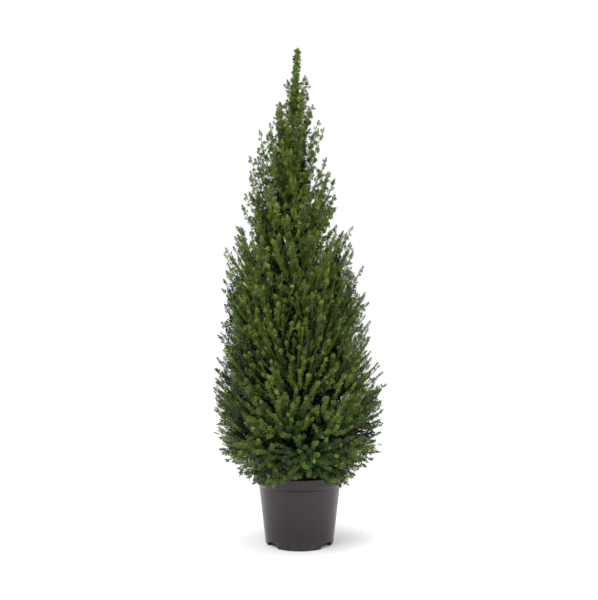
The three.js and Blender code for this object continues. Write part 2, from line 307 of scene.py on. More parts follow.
@dataclass(frozen=True)
class PotFinish:
    """Matt moulded plastic with a fine skin, faint flow lines and a little dust low down."""

    plastic: Colour
    worn: Colour
    dust: Colour
    dust_height: float = 0.03
    dust_share: float = 0.35
    skin: Patches = Patches(scale=2200.0, contrast=1.6, detail=1.0)
    flow: Patches = Patches(scale=26.0, contrast=2.0, stretch=(1.0, 1.0, 0.16))
    scuffs: Patches = Patches(scale=60.0, contrast=4.0, detail=5.0)

    def material(self) -> Material:
        """Make the material."""
        finish = Finish("pot_plastic", specular=0.33)
        board = finish.board
        flow = finish.mottle(self.flow)
        scuffs = finish.mottle(self.scuffs)
        height = board.add("ShaderNodeSeparateXYZ", {0: board.add("ShaderNodeTexCoord").outputs["Object"]})
        above = board.add(
            "ShaderNodeMapRange",
            {"Value": height.outputs["Z"], "From Max": self.dust_height, "To Min": 1.0, "To Max": 0.0},
        )
        dusty = board.maths("MULTIPLY", board.maths("MULTIPLY", above.outputs[0], scuffs), self.dust_share)
        finish.colour(board.blend(dusty, board.blend(flow, self.plastic, self.worn), self.dust))
        finish.gloss(scuffs, 0.29, 0.33)
        finish.relief(finish.mottle(self.skin), 0.00002)
        return finish.material


@dataclass(frozen=True)
class SoilFinish:
    """Damp potting soil, or the bark crumbs that lie on it."""

    name: str
    dark: Colour
    light: Colour
    lumps: Patches = Patches(scale=140.0, contrast=3.0, detail=6.0)
    depth: float = 0.0016

    def material(self) -> Material:
        """Make the material."""
        finish = Finish(self.name, specular=0.2)
        lumps = finish.mottle(self.lumps)
        finish.colour(finish.board.blend(lumps, self.dark, self.light))
        finish.gloss(lumps, 0.8, 1.0)
        finish.relief(lumps, self.depth)
        return finish.material


class Tone(Enum):
    """The needles' tones, dealt out spray by spray."""

    FRESH = NeedleFinish("needles_fresh", paint(134, 160, 66), paint(88, 118, 42))
    LEAF = NeedleFinish("needles_leaf", paint(99, 127, 50), paint(51, 73, 26))
    OLIVE = NeedleFinish("needles_olive", paint(114, 126, 48), paint(66, 78, 28))
    DEEP = NeedleFinish("needles_deep", paint(66, 94, 48), paint(34, 54, 26))
    # SHADE is near-black: partly the darker old needles inside a real crown, partly painted shade of the
    # crown's depths.
    SHADE = NeedleFinish("needles_shade", paint(34, 42, 19), paint(17, 23, 10))


OLD_BARK = BarkFinish(
    "old_bark",
    paint(128, 104, 80),
    paint(58, 44, 34),
    scales=Patches(scale=120.0, contrast=3.2, detail=5.0, stretch=(1.0, 1.0, 0.45)),
    fibres=Patches(scale=420.0, contrast=2.2, stretch=(1.0, 1.0, 0.18)),
    depth=0.0018,
)
TWIG_BARK = BarkFinish(
    "twig_bark",
    paint(98, 88, 56),
    paint(56, 48, 32),
    scales=Patches(scale=200.0, contrast=2.4),
    fibres=Patches(scale=700.0, contrast=1.8, stretch=(1.0, 1.0, 0.3)),
    depth=0.0004,
)
YOUNG_BARK = BarkFinish(
    "young_bark",
    paint(126, 130, 60),
    paint(90, 92, 42),
    scales=Patches(scale=260.0, contrast=2.0),
    fibres=Patches(scale=900.0, contrast=1.6, stretch=(1.0, 1.0, 0.3)),
    depth=0.0003,
)


# ---- Meshes


def mesh_object(name: str, vertices: Iterable, edges: Iterable = (), faces: Iterable = ()) -> Object:
    """Put a mesh in the scene.

    Args:
        name: The object's name.
        vertices: Its points, in metres.
        edges: Pairs of point numbers.
        faces: Loops of point numbers.

    Returns:
        The new object, at the origin.
    """
    mesh = bpy.data.meshes.new(name)
    mesh.from_pydata(vertices, edges, faces)
    made = bpy.data.objects.new(name, mesh)
    bpy.context.scene.collection.objects.link(made)
    return made


def baked_copy(source: Object, name: str) -> Object:
    """Swap an object for the plain mesh that its modifiers make of it.

    Args:
        source: The object, which is removed.
        name: The new object's name.

    Returns:
        The new object, with no modifiers.
    """
    graph = bpy.context.evaluated_depsgraph_get()
    mesh = bpy.data.meshes.new_from_object(source.evaluated_get(graph), depsgraph=graph)
    bpy.data.objects.remove(source)
    mesh.name = name
    made = bpy.data.objects.new(name, mesh)
    bpy.context.scene.collection.objects.link(made)
    return made


def grown(source: Object, tree: Tree, values: dict, name: str) -> Object:
    """Run a Geometry Nodes tree on an object.

    Args:
        source: The object that the tree starts from, which is removed.
        tree: The tree.
        values: The tree's named inputs.
        name: The result's name.

    Returns:
        The result as a plain mesh object.
    """
    modifier = source.modifiers.new("grow", "NODES")
    modifier.node_group = tree
    for item in tree.interface.items_tree:
        if item.item_type == "SOCKET" and item.in_out == "INPUT" and item.name in values:
            modifier[item.identifier] = values[item.name]
    return baked_copy(source, name)


def combined(body: Object, tools: Sequence[Object], operation: str) -> Object:
    """Join closed bodies to one, or cut them out of it.

    Args:
        body: The body worked on, which is replaced.
        tools: The other bodies, which are removed.
        operation: UNION or DIFFERENCE.

    Returns:
        The new body.
    """
    for tool in tools:
        modifier = body.modifiers.new(tool.name, "BOOLEAN")
        modifier.operation = operation
        modifier.solver = "EXACT"
        modifier.object = tool
    made = baked_copy(body, body.name)
    for tool in tools:
        bpy.data.objects.remove(tool)
    return made


def turned(name: str, profile: Sequence[tuple[float, float]], segments: int) -> Object:
    """Turn a profile round the Z axis.

    Args:
        name: The object's name.
        profile: Points of (radius, height) in millimetres, from one point on the axis outwards to another.
        segments: How many faces go round.

    Returns:
        A closed body.
    """
    angles = np.arange(segments) * 2 * np.pi / segments
    rows = profile[1:-1]
    x, y = np.sin(angles), -np.cos(angles)
    rings = [np.stack([radius * x, radius * y, np.full(segments, z)], axis=1) for radius, z in rows]
    ends = [[0, 0, profile[0][1]], [0, 0, profile[-1][1]]]
    vertices = np.concatenate([*rings, ends]) * MM
    first_end = len(rows) * segments
    faces = []
    for i in range(segments):
        j = (i + 1) % segments
        faces.append((first_end, j, i))
        top = (len(rows) - 1) * segments
        faces.append((first_end + 1, top + i, top + j))
        for row in range(len(rows) - 1):
            low, high = row * segments, (row + 1) * segments
            faces.append((low + i, low + j, high + j, high + i))
    return mesh_object(name, vertices.tolist(), faces=faces)


def eased(corners: Sequence[tuple[float, float, float]], steps: int = 4) -> list[tuple[float, float]]:
    """Round a profile's corners.

    Args:
        corners: Points of (radius, height, easing), where the easing is the length cut from each side.
        steps: How many spans make one round corner.

    Returns:
        The profile's points of (radius, height).
    """
    made = []
    for i, (x, y, ease) in enumerate(corners):
        if ease <= 0 or i in (0, len(corners) - 1):
            made.append((x, y))
            continue
        here = np.array([x, y])
        before, after = np.array(corners[i - 1][:2]), np.array(corners[i + 1][:2])
        start = here + (before - here) / np.linalg.norm(before - here) * ease
        end = here + (after - here) / np.linalg.norm(after - here) * ease
        for share in np.linspace(0, 1, steps + 1):
            point = (1 - share) ** 2 * start + 2 * share * (1 - share) * here + share**2 * end
            made.append((float(point[0]), float(point[1])))
    return made


def outwards(piece: Object) -> None:
    """Turn all faces of a closed body outwards."""
    work = bmesh.new()
    work.from_mesh(piece.data)
    bmesh.ops.recalc_face_normals(work, faces=work.faces)
    work.to_mesh(piece.data)
    work.free()


def prism(name: str, near: Sequence[Vector], far: Sequence[Vector]) -> Object:
    """Make a closed body between two loops.

    Args:
        name: The object's name.
        near: The points of one loop, in metres.
        far: As many points of the other.

    Returns:
        The body, with its faces outwards.
    """
    count = len(near)
    sides = [(i, (i + 1) % count, count + (i + 1) % count, count + i) for i in range(count)]
    faces = [tuple(reversed(range(count))), tuple(range(count, 2 * count)), *sides]
    made = mesh_object(name, [*near, *far], faces=faces)
    outwards(made)
    return made


def soften(piece: Object, crease: float = 34.0) -> None:
    """Shade a piece smooth, with an edge wherever it turns by more than a crease in degrees."""
    piece.data.shade_smooth()
    piece.data.set_sharp_from_angle(angle=math.radians(crease))


def dress(piece: Object, material: Material) -> None:
    """Give a piece its one material."""
    piece.data.materials.clear()
    piece.data.materials.append(material)


def settle(piece: Object, nodes: Iterable[str]) -> None:
    """Tie a finished piece to the frame and report it.

    Args:
        piece: The piece.
        nodes: The solids that it stands for.
    """
    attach(piece, "root")
    names = [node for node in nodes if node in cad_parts]
    if names:
        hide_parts(*names)
    faces = sum(len(polygon.vertices) - 2 for polygon in piece.data.polygons)
    log.info("%s: %d triangles, for %s", piece.name, faces, ", ".join(names) or "no solid of its own")


# ---- The pot and its soil


@dataclass
class NurseryPot:
    """The moulded pot: a tapering wall, a ledge, an upright rim and four recesses between its feet."""

    segments: int = 192
    height: float = 183.0
    wall: float = 2.0
    floor: float = 3.0
    base_radius: float = 87.5
    body_top_radius: float = 106.0
    body_top: float = 151.0
    ledge_radius: float = 110.0
    ledge_height: float = 153.5
    rim_foot_rise: float = 6.0
    rim_foot_run: float = 6.5
    rim_foot: float = 167.0
    rim_radius: float = 120.0
    rim_draft: float = 0.8
    recess_azimuths: tuple[float, ...] = (-52.0, 52.0, -128.0, 128.0)
    recess_radius: float = 68.0
    recess_width: float = 42.0
    recess_height: float = 12.0
    recess_corner: float = 6.0
    hole_radius: float = 5.0
    hole_at: float = 79.0
    hole_sides: int = 24
    finish: PotFinish = PotFinish(paint(37, 28, 34), paint(42, 33, 39), paint(92, 84, 82))

    def wall_line(self, inset: float, ease: float) -> list[tuple[float, float, float]]:
        """The wall's corners from its body's top to its rim's foot, an inset inside the outer face."""
        return [
            (self.body_top_radius - inset, self.body_top, ease),
            (self.ledge_radius - inset, self.ledge_height, ease),
            (self.ledge_radius + self.rim_foot_run - inset, self.ledge_height + self.rim_foot_rise, 2 * ease),
            (self.rim_radius - self.rim_draft - inset, self.rim_foot, 2 * ease),
        ]

    def recess(self, azimuth: float, grow: float) -> Object:
        """The hollow between two feet, or with a grow above 0 the housing round it.

        Args:
            azimuth: Where it is, in degrees from the front.
            grow: How much larger than the hollow the body is, in millimetres.

        Returns:
            A closed body.
        """
        half = self.recess_width / 2 + grow
        top = self.recess_height + grow
        corner = self.recess_corner + grow
        arc = [math.radians(a) for a in range(0, 91, 15)]
        outline = [(-half, -1.0), (half, -1.0)]
        outline += [(half - corner + corner * math.cos(a), top - corner + corner * math.sin(a)) for a in arc]
        outline += [(corner - half - corner * math.sin(a), top - corner + corner * math.cos(a)) for a in arc]
        turn = Matrix.Rotation(math.radians(azimuth), 3, "Z")
        ends = [
            [turn @ Vector((x, -radius, z)) * MM for x, z in outline]
            for radius in (self.body_top_radius, self.recess_radius - grow)
        ]
        return prism(f"recess_{azimuth:.0f}", *ends)

    def hole(self, azimuth: float) -> Object:
        """The drain hole through one recess's ceiling, as a closed body."""
        spread = [i * 2 * math.pi / self.hole_sides for i in range(self.hole_sides)]
        turn = Matrix.Rotation(math.radians(azimuth), 3, "Z")
        radius = self.hole_radius
        ring = [(radius * math.cos(a), radius * math.sin(a) - self.hole_at) for a in spread]
        ends = [[turn @ Vector((x, y, z)) * MM for x, y in ring] for z in (0, 3 * self.recess_height)]
        return prism(f"hole_{azimuth:.0f}", *ends)

    def build(self) -> None:
        """Make the pot: its turned shell, its recesses' housings, the recesses and the drain holes."""
        outside = [(0, 0, 0), (self.base_radius, 0, 2.4), *self.wall_line(0, 1.0)]
        outside += [(self.rim_radius, self.height, 0.8), (self.rim_radius - self.wall, self.height, 0.8)]
        inside = [*reversed(self.wall_line(self.wall, 1.0)), (self.base_radius - self.wall, self.floor, 2.0)]
        shell = turned("pot_shell", eased([*outside, *inside, (0, self.floor, 0)]), self.segments)
        filled = turned("pot_filled", eased([*outside, (0, self.height, 0)]), self.segments)
        housings = [self.recess(azimuth, self.wall) for azimuth in self.recess_azimuths]
        for housing in housings:
            clip = housing.modifiers.new("clip", "BOOLEAN")
            clip.operation = "INTERSECT"
            clip.solver = "EXACT"
            clip.object = filled
        housings = [baked_copy(housing, f"housing_{i}") for i, housing in enumerate(housings)]
        bpy.data.objects.remove(filled)
        pot = combined(shell, housings, "UNION")
        cuts = [self.recess(azimuth, 0) for azimuth in self.recess_azimuths]
        cuts += [self.hole(azimuth) for azimuth in self.recess_azimuths]
        pot = combined(pot, cuts, "DIFFERENCE")
        pot.name = "nursery_pot"
        soften(pot)
        dress(pot, self.finish.material())
        settle(pot, ["pot"])


def crumb_tree() -> Tree:
    """The tree that strews crumbs over a surface's upward faces.

    Returns:
        A Geometry Nodes tree that gives the crumbs alone, realized and dressed.
    """
    inputs = (
        Knob("Surface", "NodeSocketGeometry"),
        Knob("Density", "NodeSocketFloat", 1000.0),
        Knob("Crumb Size", "NodeSocketFloat", 0.004),
        Knob("Flatness", "NodeSocketFloat", 0.4),
        Knob("Seed", "NodeSocketInt", 1),
        Knob("Material", "NodeSocketMaterial"),
    )
    outputs = (Knob("Crumbs", "NodeSocketGeometry"),)
    board, given, made = new_group("crumbs", "GeometryNodeTree", inputs, outputs)
    value = given.outputs
    seed = value["Seed"]
    lift = board.add("ShaderNodeSeparateXYZ", {0: board.add("GeometryNodeInputNormal").outputs[0]})
    upward = board.add("FunctionNodeCompare", {0: lift.outputs["Z"], 1: 0.7}, operation="GREATER_THAN")
    points = board.add(
        "GeometryNodeDistributePointsOnFaces",
        {"Mesh": value["Surface"], "Selection": upward.outputs[0], "Density": value["Density"], "Seed": seed},
    )
    ball = board.add("GeometryNodeMeshIcoSphere", {"Radius": 0.5, "Subdivisions": 1})
    spin = board.add("FunctionNodeRandomValue", {"Seed": seed}, data_type="FLOAT_VECTOR")
    spin.inputs[1].default_value = (math.pi, 0.9, 2 * math.pi)
    next_seed = board.maths("ADD", seed, 1)
    size = board.add("FunctionNodeRandomValue", {"Seed": next_seed}, data_type="FLOAT_VECTOR")
    size.inputs[0].default_value = (0.3, 0.25, 0.4)
    size.inputs[1].default_value = (1.3, 0.8, 1.1)
    flat = board.add("ShaderNodeCombineXYZ", {"X": 1.0, "Y": 1.0, "Z": value["Flatness"]})
    scaled = board.add("ShaderNodeVectorMath", {0: size.outputs[0], 1: flat.outputs[0]}, operation="MULTIPLY")
    final = board.add(
        "ShaderNodeVectorMath", {0: scaled.outputs[0], "Scale": value["Crumb Size"]}, operation="SCALE"
    )
    turn = board.add("FunctionNodeEulerToRotation", {0: spin.outputs[0]})
    strewn = board.add(
        "GeometryNodeInstanceOnPoints",
        {
            "Points": points.outputs[0], "Instance": ball.outputs[0],
            "Rotation": turn.outputs[0], "Scale": final.outputs[0],
        },
    )
    return board.deliver(strewn.outputs[0], value["Material"], made)


@dataclass
class PottingSoil:
    """The soil that fills the pot, with bark crumbs strewn over its top."""

    pot: NurseryPot
    top: float = 165.0
    edge_drop: float = 4.0
    level_radius: float = 34.0
    clearance: float = 0.3
    segments: int = 120
    rings: int = 26
    lump_height: float = 2.2
    lump_width: float = 14.0
    lump_cap: float = 0.6
    settled: float = 0.4
    crumb_density: float = 52000.0
    crumb_size: float = 0.0062
    crumb_flatness: float = 0.45
    crumb_seed: int = 5
    finish: SoilFinish = SoilFinish("potting_soil", paint(38, 29, 22), paint(84, 66, 50))
    crumb_finish: SoilFinish = SoilFinish("bark_crumbs", paint(60, 42, 30), paint(122, 92, 66), depth=0.0004)

    def build(self) -> None:
        """Make the soil's body and its crumbs."""
        pot = self.pot
        inset = pot.wall + self.clearance
        low = pot.floor + self.clearance
        body, ledge, curve, _ = pot.wall_line(inset, 0.5)
        rim = curve[0] + self.clearance
        radii = np.linspace(rim, 0, self.rings)
        slope = np.clip((radii - self.level_radius) / (rim - self.level_radius), 0, 1)
        surface = [(float(r), float(self.top - self.edge_drop * s)) for r, s in zip(radii, slope)]
        side = eased([(0, low, 0), (pot.base_radius - inset, low, 1.5), body, ledge, curve, (*surface[0], 0)])
        soil = turned("soil_body", [*side[:-1], *surface], self.segments)
        for vertex in soil.data.vertices:
            spot = vertex.co / MM
            if spot.z > self.top - self.edge_drop - 0.1:
                room = min(1.0, (rim - math.hypot(spot.x, spot.y)) / self.lump_width)
                lump = noise.fractal(spot / self.lump_width, 0.9, 2.1, 4) * self.lump_height
                vertex.co.z += (min(lump, self.lump_cap * self.lump_height) * room - self.settled * room) * MM
        soil = combined(soil, [pot.recess(azimuth, inset) for azimuth in pot.recess_azimuths], "DIFFERENCE")
        soil.name = "potting_soil"
        soften(soil, 60.0)
        dress(soil, self.finish.material())
        surface_copy = bpy.data.objects.new("crumb_bed", soil.data.copy())
        bpy.context.scene.collection.objects.link(surface_copy)
        values = {
            "Density": self.crumb_density,
            "Crumb Size": self.crumb_size,
            "Flatness": self.crumb_flatness,
            "Seed": self.crumb_seed,
            "Material": self.crumb_finish.material(),
        }
        crumbs = grown(surface_copy, crumb_tree(), values, "bark_crumbs")
        settle(soil, ["soil"])
        settle(crumbs, [])


# ---- The crown's growth rule


class RandomStream:
    """Even random numbers from 0 to 1, the same for the same seed, as the solids' own rule draws them."""

    BITS = 0xFFFFFFFF
    STRIDE = 0x6D2B79F5

    def __init__(self, seed: int) -> None:
        """Start the stream."""
        self.state = seed & self.BITS

    def draw(self) -> float:
        """The next number."""
        self.state = (self.state + self.STRIDE) & self.BITS
        mixed = ((self.state ^ (self.state >> 15)) * (self.state | 1)) & self.BITS
        mixed ^= (mixed + (((mixed ^ (mixed >> 7)) * (mixed | 61)) & self.BITS)) & self.BITS
        return (mixed ^ (mixed >> 14)) / (self.BITS + 1)

    def between(self, low: float, high: float) -> float:
        """The next number, from low to high."""
        return low + (high - low) * self.draw()

    def skip(self, count: int) -> None:
        """Pass over numbers that the solids' rule spends on something else."""
        for _ in range(count):
            self.draw()


@dataclass(frozen=True)
class Space:
    """The room of one mass of foliage: growth lines between two heights and two azimuths."""

    label: str
    low: float
    high: float
    azimuth: float
    half_width: float
    shoots: int
    bough: float
    seed: int

    @property
    def middle(self) -> float:
        """The height of the mass's own growth line."""
        return (self.low + self.high) / 2

    @property
    def half_height(self) -> float:
        """Half of the space's height."""
        return (self.high - self.low) / 2


@dataclass(frozen=True)
class Tier:
    """A ring of masses round the trunk, the first at an azimuth in degrees. The lower tiers have boughs."""

    name: str
    low: float
    high: float
    count: int
    first: float
    shoots: int
    bough: float = 0.0

    def spaces(self, number: int) -> list[Space]:
        """The tier's spaces, for the tier of this number from below."""
        turn = 2 * math.pi / self.count
        return [
            Space(
                label=f"{self.name}_{i + 1}",
                low=self.low,
                high=self.high,
                azimuth=math.radians(self.first) + turn * i,
                half_width=turn / 2,
                shoots=self.shoots,
                bough=self.bough,
                seed=100 * number + i,
            )
            for i in range(self.count)
        ]


TIERS = (
    Tier("t1", 168, 296, 6, 12, 7, 5.2),
    Tier("t2", 296, 420, 6, 42, 6, 5.0),
    Tier("t3", 420, 556, 5, 0, 7, 4.6),
    Tier("t4", 556, 694, 5, 36, 6, 4.2),
    Tier("t5", 694, 830, 4, 20, 6),
    Tier("t6", 830, 980, 3, 50, 7),
    Tier("t7", 980, 1150, 3, -10, 6),
)


@dataclass(frozen=True)
class TrunkForm:
    """The trunk's girth, in millimetres."""

    foot: float = 165.3
    top: float = 1075.0
    foot_radius: float = 21.0
    flare_height: float = 38.0
    radius: float = 14.5
    tip_radius: float = 3.0
    taper: float = 0.85

    def radius_at(self, z: Numbers) -> Numbers:
        """The trunk's radius.

        Args:
            z: A height, or several.

        Returns:
            The radius there, with the flare of its foot.
        """
        above = z - self.foot
        share = np.clip(above / (self.top - self.foot), 0, 1)
        flare = np.clip(1 - above / self.flare_height, 0, 1) ** 2
        plain = self.radius + (self.tip_radius - self.radius) * share**self.taper
        return plain + (self.foot_radius - self.radius) * flare


@dataclass(frozen=True)
class CrownForm:
    """The crown's growth lines. Tables hold rows of (height, value), and lengths are in millimetres."""

    sway: Table = ((165, 0), (400, -4), (550, -14), (750, -20), (1000, -26), (1150, -12), (1290, -4))
    outline: Table = (
        (165, 146), (198, 168), (230, 203), (292, 216), (402, 224), (448, 213), (500, 196), (604, 187),
        (700, 176), (760, 166), (838, 134), (932, 112), (1057, 86), (1095, 60), (1135, 41), (1213, 20),
        (1290, 6),
    )
    rise: Table = (
        (165, -26), (230, -8), (270, 6), (330, 22), (400, 34), (500, 44), (600, 51), (700, 57),
        (800, 62), (900, 66), (1000, 70), (1100, 75), (1290, 82),
    )
    sweep: float = 1.25
    top: float = 1284.0
    search: tuple[float, float] = (108.0, 1344.0)
    search_steps: int = 22
    trunk: TrunkForm = TrunkForm()
    margin: float = 4.0
    side_margin: float = 0.8
    trunk_margin: float = 2.0
    shoots_from: float = 0.35

    def sway_at(self, z: Numbers) -> np.ndarray:
        """How far the trunk stands to the right at a height."""
        return np.interp(z, *np.transpose(self.sway))

    def outline_at(self, h: Numbers) -> np.ndarray:
        """The crown's radius at a height."""
        return np.interp(h, *np.transpose(self.outline))

    def steepness_at(self, h: Numbers) -> np.ndarray:
        """How steeply the growth line of a height meets the outline, as rise over run."""
        return np.tan(np.radians(np.interp(h, *np.transpose(self.rise))))

    def line_height(self, h: Numbers, radius: Numbers) -> np.ndarray:
        """The height of a growth line at a distance from the trunk's axis."""
        outline = self.outline_at(h)
        short = 1 - (radius / outline) ** self.sweep
        return h - self.steepness_at(h) * outline / self.sweep * short

    def on_line(self, azimuth: Numbers, h: Numbers, share: Numbers) -> np.ndarray:
        """Points along growth lines.

        Args:
            azimuth: The lines' azimuths in radians, from the front towards the right.
            h: The heights where the lines meet the outline.
            share: How far along each line, from 0 at the trunk's axis to 1.

        Returns:
            A point in millimetres, or a row for each.
        """
        radius = share * self.outline_at(h)
        z = self.line_height(h, radius)
        parts = np.broadcast_arrays(self.sway_at(z) + radius * np.sin(azimuth), -radius * np.cos(azimuth), z)
        return np.stack(parts, axis=-1)

    def share_of(self, length: float, h: float, share: float) -> float:
        """The share of a growth line that a length takes near a given share."""
        steepness = self.steepness_at(h) * share ** (self.sweep - 1)
        return float(length / (self.outline_at(h) * math.hypot(1, steepness)))

    def line_through(self, radius: np.ndarray, z: np.ndarray) -> np.ndarray:
        """Find the growth lines through some points, by halving.

        Args:
            radius: The points' distances from the trunk's axis.
            z: Their heights.

        Returns:
            The heights where those lines meet the outline.
        """
        low, high = (np.full_like(radius, limit) for limit in self.search)
        for _ in range(self.search_steps):
            middle = (low + high) / 2
            under = self.line_height(middle, radius) < z
            low, high = np.where(under, middle, low), np.where(under, high, middle)
        return (low + high) / 2

    def holds(self, space: Space, points: np.ndarray) -> bool:
        """Whether a space holds all of some points.

        Args:
            space: The space.
            points: The points, in millimetres.

        Returns:
            True where each is inside, clear of the trunk and far enough out.
        """
        x = points[:, 0] - self.sway_at(points[:, 2])
        radius = np.hypot(x, points[:, 1])
        h = self.line_through(radius, points[:, 2])
        turn = np.arctan2(x, -points[:, 1]) - space.azimuth
        spare = space.half_width - np.abs(turn - np.round(turn / (2 * np.pi)) * 2 * np.pi)
        room = radius * np.sin(np.minimum(spare, np.pi / 2))
        inside = (h >= space.low + self.margin) & (h <= space.high - self.margin)
        clear = radius >= self.trunk.radius_at(points[:, 2]) + self.trunk_margin
        beyond = radius >= self.shoots_from * self.outline_at(h)
        return bool(np.all(inside & clear & beyond & (spare > 0) & (room > self.side_margin)))


@dataclass(frozen=True)
class LeadShoot:
    """One of the shoots that the solids show, as points in millimetres."""

    root: np.ndarray
    start: np.ndarray
    tip: np.ndarray


@dataclass(frozen=True)
class LeadRule:
    """The rule by which the solids' shoots grow, with the same random draws."""

    form: CrownForm
    stem_end: float = STEM_END
    core_draws: int = 20
    across: float = 0.9
    upwards: float = 0.88
    shift: float = 0.37
    fan: float = 0.86
    first_root: float = 0.7
    last_root: float = 0.95
    reach_spread: float = 0.17
    length: float = 112.0
    length_spread: float = 30.0
    shortest: float = 56.0
    cut_back: float = 12.0
    tiers: int = 2
    bare: float = 0.22
    leafy: float = 0.97
    core: float = 4.2
    twig_radius: float = 2.4
    needle_reach: float = 17.0
    first_tier_share: float = 0.8
    needle_ahead: float = 15.0
    twist: float = 0.5

    def spikes(self, shoot: LeadShoot, spin: float, girth: float) -> np.ndarray:
        """The corners of a lead shoot's solid, which have to stay in its space.

        Args:
            shoot: The shoot.
            spin: How its corners are turned round it, in radians.
            girth: How thick it is, as a share of the usual.

        Returns:
            The corners in millimetres.
        """
        rings = 2 * self.tiers + 2
        way = shoot.tip - shoot.start
        length = float(np.linalg.norm(way))
        turn = Vector((0, 0, 1)).rotation_difference(Vector(way)).to_matrix()
        corners = []
        for ring in range(rings + 1):
            tier = ring // 2
            is_tip = 1 < ring < rings and ring % 2 == 0
            share = self.bare + (self.leafy - self.bare) * ((tier - 0.5) / self.tiers)
            share = 0 if ring < 2 else 1 if ring == rings else share
            reach = self.needle_reach * (1 if tier > 1 else self.first_tier_share)
            radius = girth * (reach if is_tip else self.twig_radius if ring == 0 else self.core)
            radius *= 1 - ring / rings
            for corner in range(3):
                angle = spin + ring * self.twist + corner * 2 * math.pi / 3 - math.pi / 2
                ahead = share * length + (self.needle_ahead if is_tip else 0)
                point = turn @ Vector((radius * math.cos(angle), radius * math.sin(angle), ahead))
                corners.append(np.array(point) + (shoot.root if ring == 0 else shoot.start))
        return np.array(corners)

    def shoots(self, space: Space) -> list[LeadShoot]:
        """The lead shoots of one mass."""
        stream = RandomStream(space.seed)
        stream.skip(self.core_draws)
        return [shoot for i in range(space.shoots) if (shoot := self.shoot(space, i, stream))]

    def shoot(self, space: Space, i: int, stream: RandomStream) -> LeadShoot | None:
        """Grow one lead shoot.

        Args:
            space: Its mass's space.
            i: Its number in the mass.
            stream: The mass's random numbers.

        Returns:
            The shoot, or None where even the shortest one leaves the space.
        """
        form = self.form
        rise = (i + 0.25 + 0.5 * stream.draw()) / space.shoots
        across = self.across * (2 * ((i * GOLDEN_SHARE + space.seed * self.shift) % 1) - 1)
        upwards = self.upwards * (2 * rise - 1) * space.half_height
        azimuth, h = space.azimuth + across * space.half_width, space.middle + upwards
        reach = 1 - self.reach_spread * stream.draw() ** 2
        root_share = self.stem_end * (self.first_root + (self.last_root - self.first_root) * rise)
        root = form.on_line(space.azimuth, space.middle, root_share)
        tip = form.on_line(azimuth, h, reach)
        length = self.length + self.length_spread * (stream.draw() - 0.5)
        while length >= self.shortest:
            start = form.on_line(
                space.azimuth + self.fan * across * space.half_width,
                space.middle + self.fan * upwards,
                reach - form.share_of(length, h, reach),
            )
            shoot = LeadShoot(root, start, tip)
            spin, girth = stream.draw() * 2 * math.pi, 0.85 + 0.3 * stream.draw()
            if form.holds(space, self.spikes(shoot, spin, girth)):
                return shoot
            length -= self.cut_back
        return None


# ---- Strands, needles and twigs


@dataclass
class Strands:
    """Polylines gathered for one piece, with named values at their points."""

    names: tuple[str, ...]
    points: list[np.ndarray] = field(default_factory=list)
    values: list[np.ndarray] = field(default_factory=list)

    def add(self, points: np.ndarray, *values: Numbers) -> None:
        """Add a polyline.

        Args:
            points: Its points in millimetres.
            *values: For each of the strands' names, one value or a value for each point.
        """
        self.points.append(points)
        self.values.append(np.stack([np.broadcast_to(value, len(points)) for value in values], axis=1))

    def to_object(self, name: str) -> Object:
        """Make one mesh of edges that holds all the strands."""
        counts = [len(points) for points in self.points]
        total = sum(counts)
        ends = np.cumsum(counts) - 1
        starts = np.setdiff1d(np.arange(total - 1), ends)
        edges = np.stack([starts, starts + 1], axis=1)
        made = mesh_object(name, (np.concatenate(self.points) * MM).tolist(), edges=edges.tolist())
        table = np.concatenate(self.values)
        for column, attribute in enumerate(self.names):
            layer = made.data.attributes.new(attribute, "FLOAT", "POINT")
            layer.data.foreach_set("value", np.ascontiguousarray(table[:, column], np.float32))
        return made


NEEDLE_VALUES = ("share", "vigour", "spacing", "flare")


def needle_body() -> Object:
    """A needle of length and width 1: a body of four faces, widest half way along."""
    corners = ((0.0, 0.0, 0.0), (0.0, 0.0, 1.0), (0.5, 0.22, 0.42), (-0.5, 0.22, 0.58))
    made = mesh_object("needle", corners, faces=((0, 1, 2), (0, 3, 1), (0, 2, 3), (1, 3, 2)))
    outwards(made)
    return made


